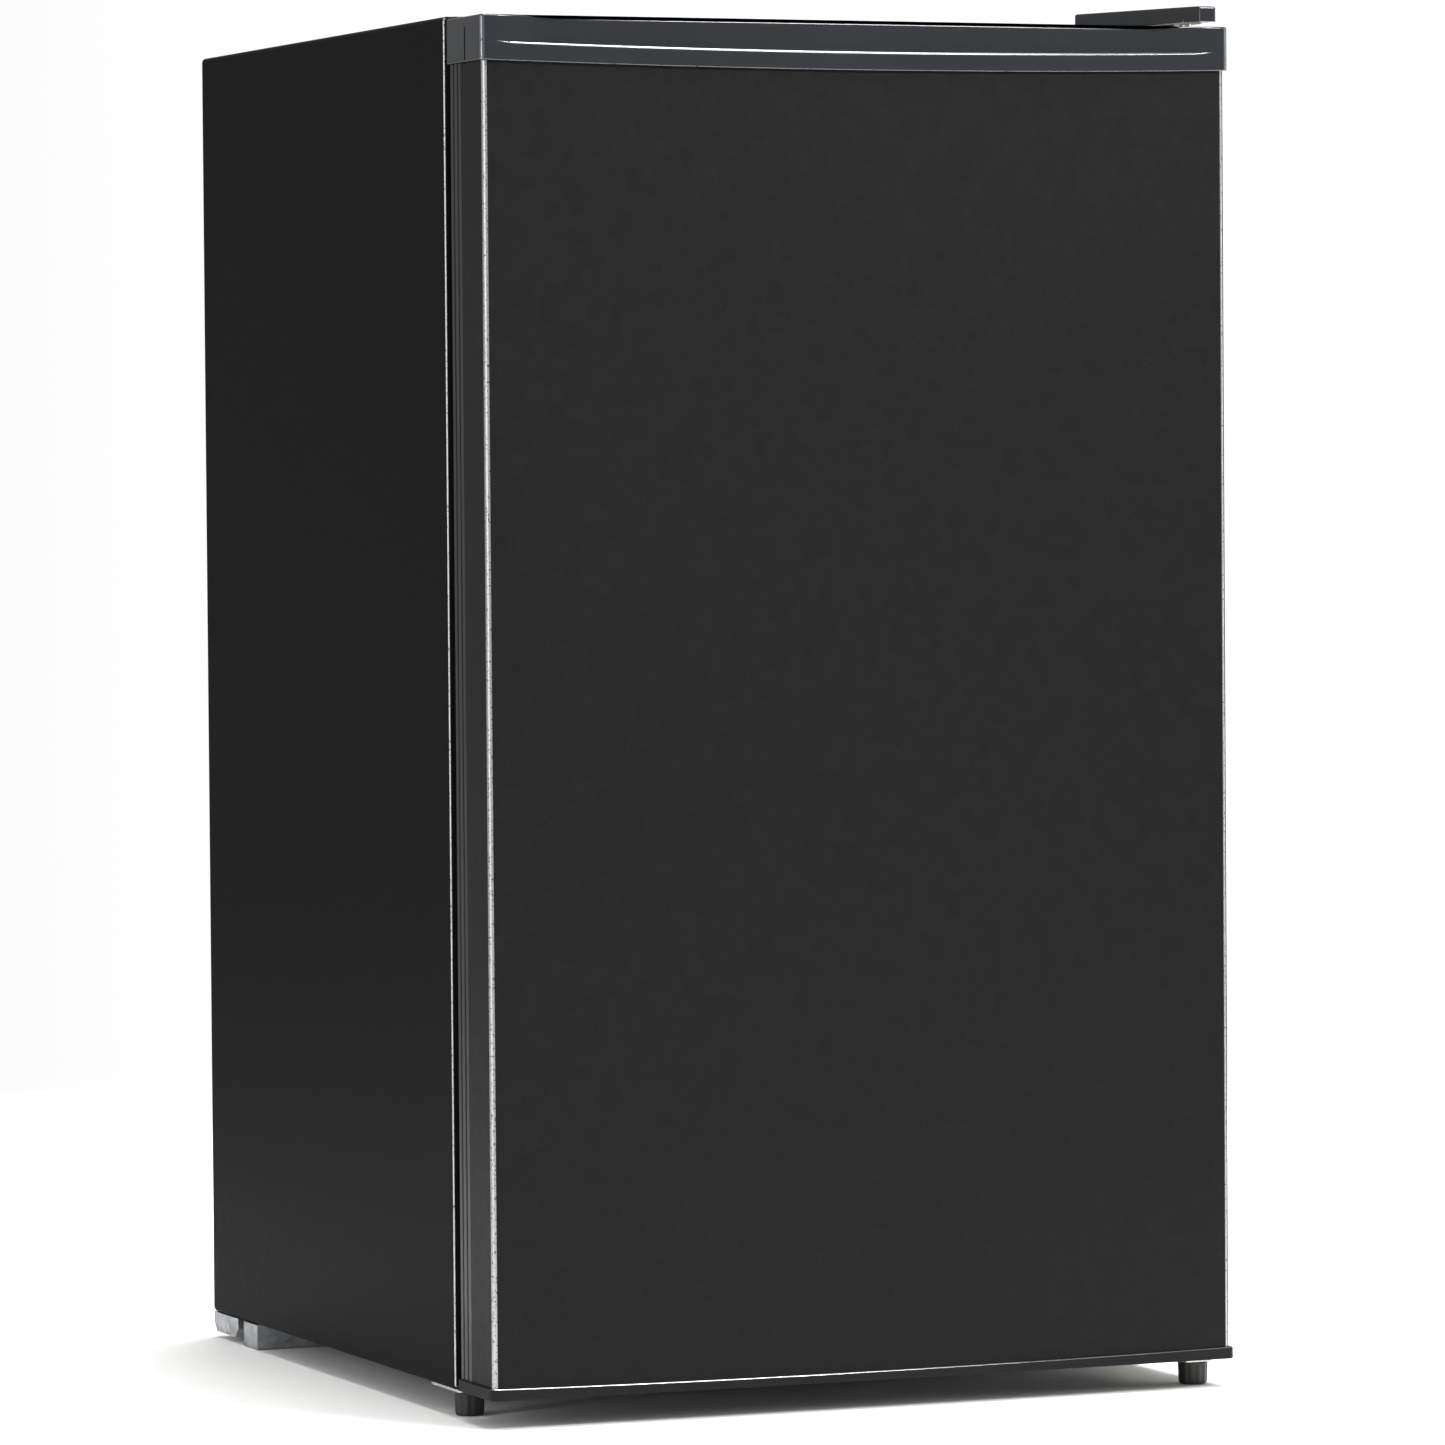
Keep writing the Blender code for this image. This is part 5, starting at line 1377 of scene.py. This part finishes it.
bm = bmesh.new()
spout = [(0.0105, 0.2070), (0.0105, 0.2030), (0.0065, 0.1990), (0.0060, 0.1830), (0.0048, 0.1830),
         (0.0050, 0.2060)]
turned(bm, spout, (COMP[0], COMP[1]), "z", 24, ring=True)
piece("drain_spout", bm, "relay_plastic", "cabinet", crease=40)
print("compressor 125 mm across at its weld")

# %% [markdown]
# ## Condenser
#
# The condenser is a steel tube bent to and fro, with wires spot-welded across it, front and back, which
# carry the heat into the room. The bends are half circles between straight runs, so their points are
# worked out directly. Two folded brackets hold it off the back panel.

# %% Condenser: tube, brackets and wires
COIL_Y, COIL_R = 0.480, 0.0024
COIL_HALF, COIL_LOW, COIL_PITCH, COIL_RUNS = 0.205, 0.250, 0.064, 9
COIL_HIGH = COIL_LOW + (COIL_RUNS - 1) * COIL_PITCH
DRIER_X = -0.200
turn_r = COIL_PITCH / 2
route = bent([(DRIER_X, 0.4480, 0.1705), (DRIER_X, 0.4480, 0.1800), (DRIER_X, COIL_Y, 0.2000),
              (DRIER_X, COIL_Y, COIL_LOW), (-COIL_HALF + turn_r, COIL_Y, COIL_LOW)], 0.010, 8)
for run in range(COIL_RUNS):
    way = 1 if run % 2 == 0 else -1
    end, z = way * (COIL_HALF - turn_r), COIL_LOW + run * COIL_PITCH
    route.append(Vector((end, COIL_Y, z)))
    if run < COIL_RUNS - 1:
        swing = [pi * i / 18 for i in range(1, 18)]
        route += [Vector((end + way * turn_r * sin(t), COIL_Y, z + turn_r - turn_r * cos(t))) for t in swing]
        route.append(Vector((end, COIL_Y, z + COIL_PITCH)))
bm = bmesh.new()
tube(bm, route, COIL_R, 12)
piece("condenser_tube", bm, "black_enamel", "cabinet", "condenser_coil", crease=60)

for name, x in (("left", -0.150), ("right", 0.150)):
    bm = bmesh.new()
    box(bm, (x - 0.008, COIL_Y - 0.0045, COIL_LOW - 0.012),
        (x + 0.008, COIL_Y - 0.0030, COIL_HIGH + 0.012), 0.0005)
    for side in (-1, 1):
        box(bm, (x + side * 0.0074 - 0.0006, COIL_Y - 0.0080, COIL_LOW - 0.008),
            (x + side * 0.0074 + 0.0006, COIL_Y - 0.0032, COIL_HIGH + 0.008), 0.0003)
    for z in (0.275, 0.520, 0.745):
        box(bm, (x - 0.0078, DEPTH + 0.0003, z), (x + 0.0078, COIL_Y - 0.0035, z + 0.012), 0.0010)
        screw(bm, (x, COIL_Y - 0.0030, z + 0.006), "y", 1, 0.0030)
    piece(f"coil_bracket_{name}", bm, "black_enamel", "cabinet", f"condenser_bracket_{name}")

WIRE_R = 0.0007
WIRES = 56
bm = bmesh.new()
for i in range(WIRES):
    x = -0.170 + 0.340 * (i // 2) / (WIRES // 2 - 1)
    y = COIL_Y + (1 if i % 2 else -1) * (COIL_R + WIRE_R * 0.8)
    if abs(abs(x) - 0.150) < 0.010 and y < COIL_Y:
        continue
    tube(bm, [(x, y, 0.240), (x, y, 0.500), (x, y, 0.772)], WIRE_R, 6)
piece("condenser_wires", bm, "black_enamel", "cabinet", crease=60)
print(COIL_RUNS, "runs of tube and", WIRES, "places for wires")

# %% [markdown]
# ## Refrigerant lines
#
# Copper tubes join the compressor to the condenser and the evaporator: the thin hot line, the thicker
# cold one, and the capillary, which is hardly thicker than a wire. The filter drier between them is a
# spun copper cartridge with drawn-in necks. The routes are polylines whose corners are turned into bends,
# as on a bending jig.

# %% Refrigerant lines
LINES = {  # radius, bend radius, route
    "discharge": (0.0024, 0.020, [
        (0.0050, 0.4220, 0.1400), (0.0400, 0.4270, 0.1400), (0.1500, 0.4370, 0.1500),
        (0.2150, 0.4470, 0.1650), (0.2150, COIL_Y, 0.2000), (0.2150, COIL_Y, COIL_HIGH),
        (COIL_HALF - turn_r + GAP, COIL_Y, COIL_HIGH)]),
    "suction": (0.0035, 0.020, [
        (-0.1180, 0.4120, 0.1180), (-0.1500, 0.4220, 0.1180), (-0.1650, 0.4420, 0.1500),
        (-0.1650, 0.4680, 0.2000), (-0.1650, 0.4680, 0.6400), (-0.1650, 0.4640, 0.6700)]),
    "capillary": (0.0012, 0.008, [
        (-0.2000, 0.4480, 0.0990), (-0.2000, 0.4480, 0.0850), (-0.1850, 0.4480, 0.0850),
        (-0.1850, 0.4480, 0.1700), (-0.1760, 0.4660, 0.1980), (-0.1760, 0.4660, 0.6400),
        (-0.1760, 0.4610, 0.6600)]),
    "sensor": (0.0012, 0.012, [
        (0.1900, 0.2083, 0.5900), (0.1900, 0.4080, 0.5900), (0.1900, 0.4080, 0.7000),
        (0.1500, 0.4080, 0.7200)]),
}
NODES = {"discharge": "discharge_line", "suction": "suction_line", "capillary": "capillary_tube",
         "sensor": "sensor_tube"}
for name, (radius, bend, points) in LINES.items():
    bm = bmesh.new()
    tube(bm, bent(points, bend, 10), radius, 12)
    piece(f"copper_{name}", bm, "copper", "cabinet", NODES[name], crease=60)

bm = bmesh.new()
shoulder = [pi / 2 * i / 6 for i in range(7)]
cartridge = [(0.0026, 0.1000), (0.0030, 0.1012)]
cartridge += [(0.0030 + 0.0055 * sin(t), 0.1040 + 0.0080 * (1 - cos(t))) for t in shoulder]
cartridge += [(0.0085, 0.1500), (0.0088, 0.1505), (0.0088, 0.1520), (0.0085, 0.1525)]
cartridge += [(0.0030 + 0.0055 * cos(t), 0.1580 + 0.0080 * sin(t)) for t in shoulder]
turned(bm, cartridge + [(0.0030, 0.1690), (0.0026, 0.1700)], (DRIER_X, 0.448), "z", 32)
piece("drier_cartridge", bm, "copper", "cabinet", "filter_drier", crease=60)
print(len(LINES), "copper lines and a drier")

# %% [markdown]
# ## Plain sheet and block pieces
#
# Brackets, pins, bushes and panels are already the right shape in the frame, but every edge is a knife
# edge. A real edge is sheared or moulded, with a small radius that draws a fine light line. So each is
# copied, and a bevel modifier rolls its edges by a few tenths of a millimetre.

# %% Rolled edges for the rest
ROLL_MM = {"sheet": 0.25, "block": 0.6}
shown = [part for part in record["subparts"] if not frame["nodes"][part["node"]].hide_render]
body_of = {node: body for body, nodes in record["behaviour"]["bodies"].items() for node in nodes}
for part in shown:
    node = part["node"]
    source = frame["nodes"][node]
    thinnest = min(source.dimensions)
    mesh = source.data.copy()
    mesh.shade_smooth()
    mesh.set_sharp_from_angle(angle=radians(35))
    copied = bpy.data.objects.new(f"{node}_rolled", mesh)
    bpy.context.scene.collection.objects.link(copied)
    edge = copied.modifiers.new("rolled edge", "BEVEL")
    edge.width = min(ROLL_MM["sheet" if thinnest < 0.004 else "block"] * MM, thinnest * 0.2)
    edge.segments = 2
    edge.limit_method = "ANGLE"
    edge.angle_limit = radians(40)
    even = copied.modifiers.new("shade by face area", "WEIGHTED_NORMAL")
    even.keep_sharp = True
    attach(copied, body_of[node])
    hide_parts(node)
    made_pieces.append(copied.name)
print("edges rolled on", [part["node"] for part in shown])

# %% [markdown]
# ## Count
#
# The count of detailed pieces is printed. The finished model has to fill the same box as
# the frame.

# %% Count the pieces
print(len(made_pieces), "detailed pieces")
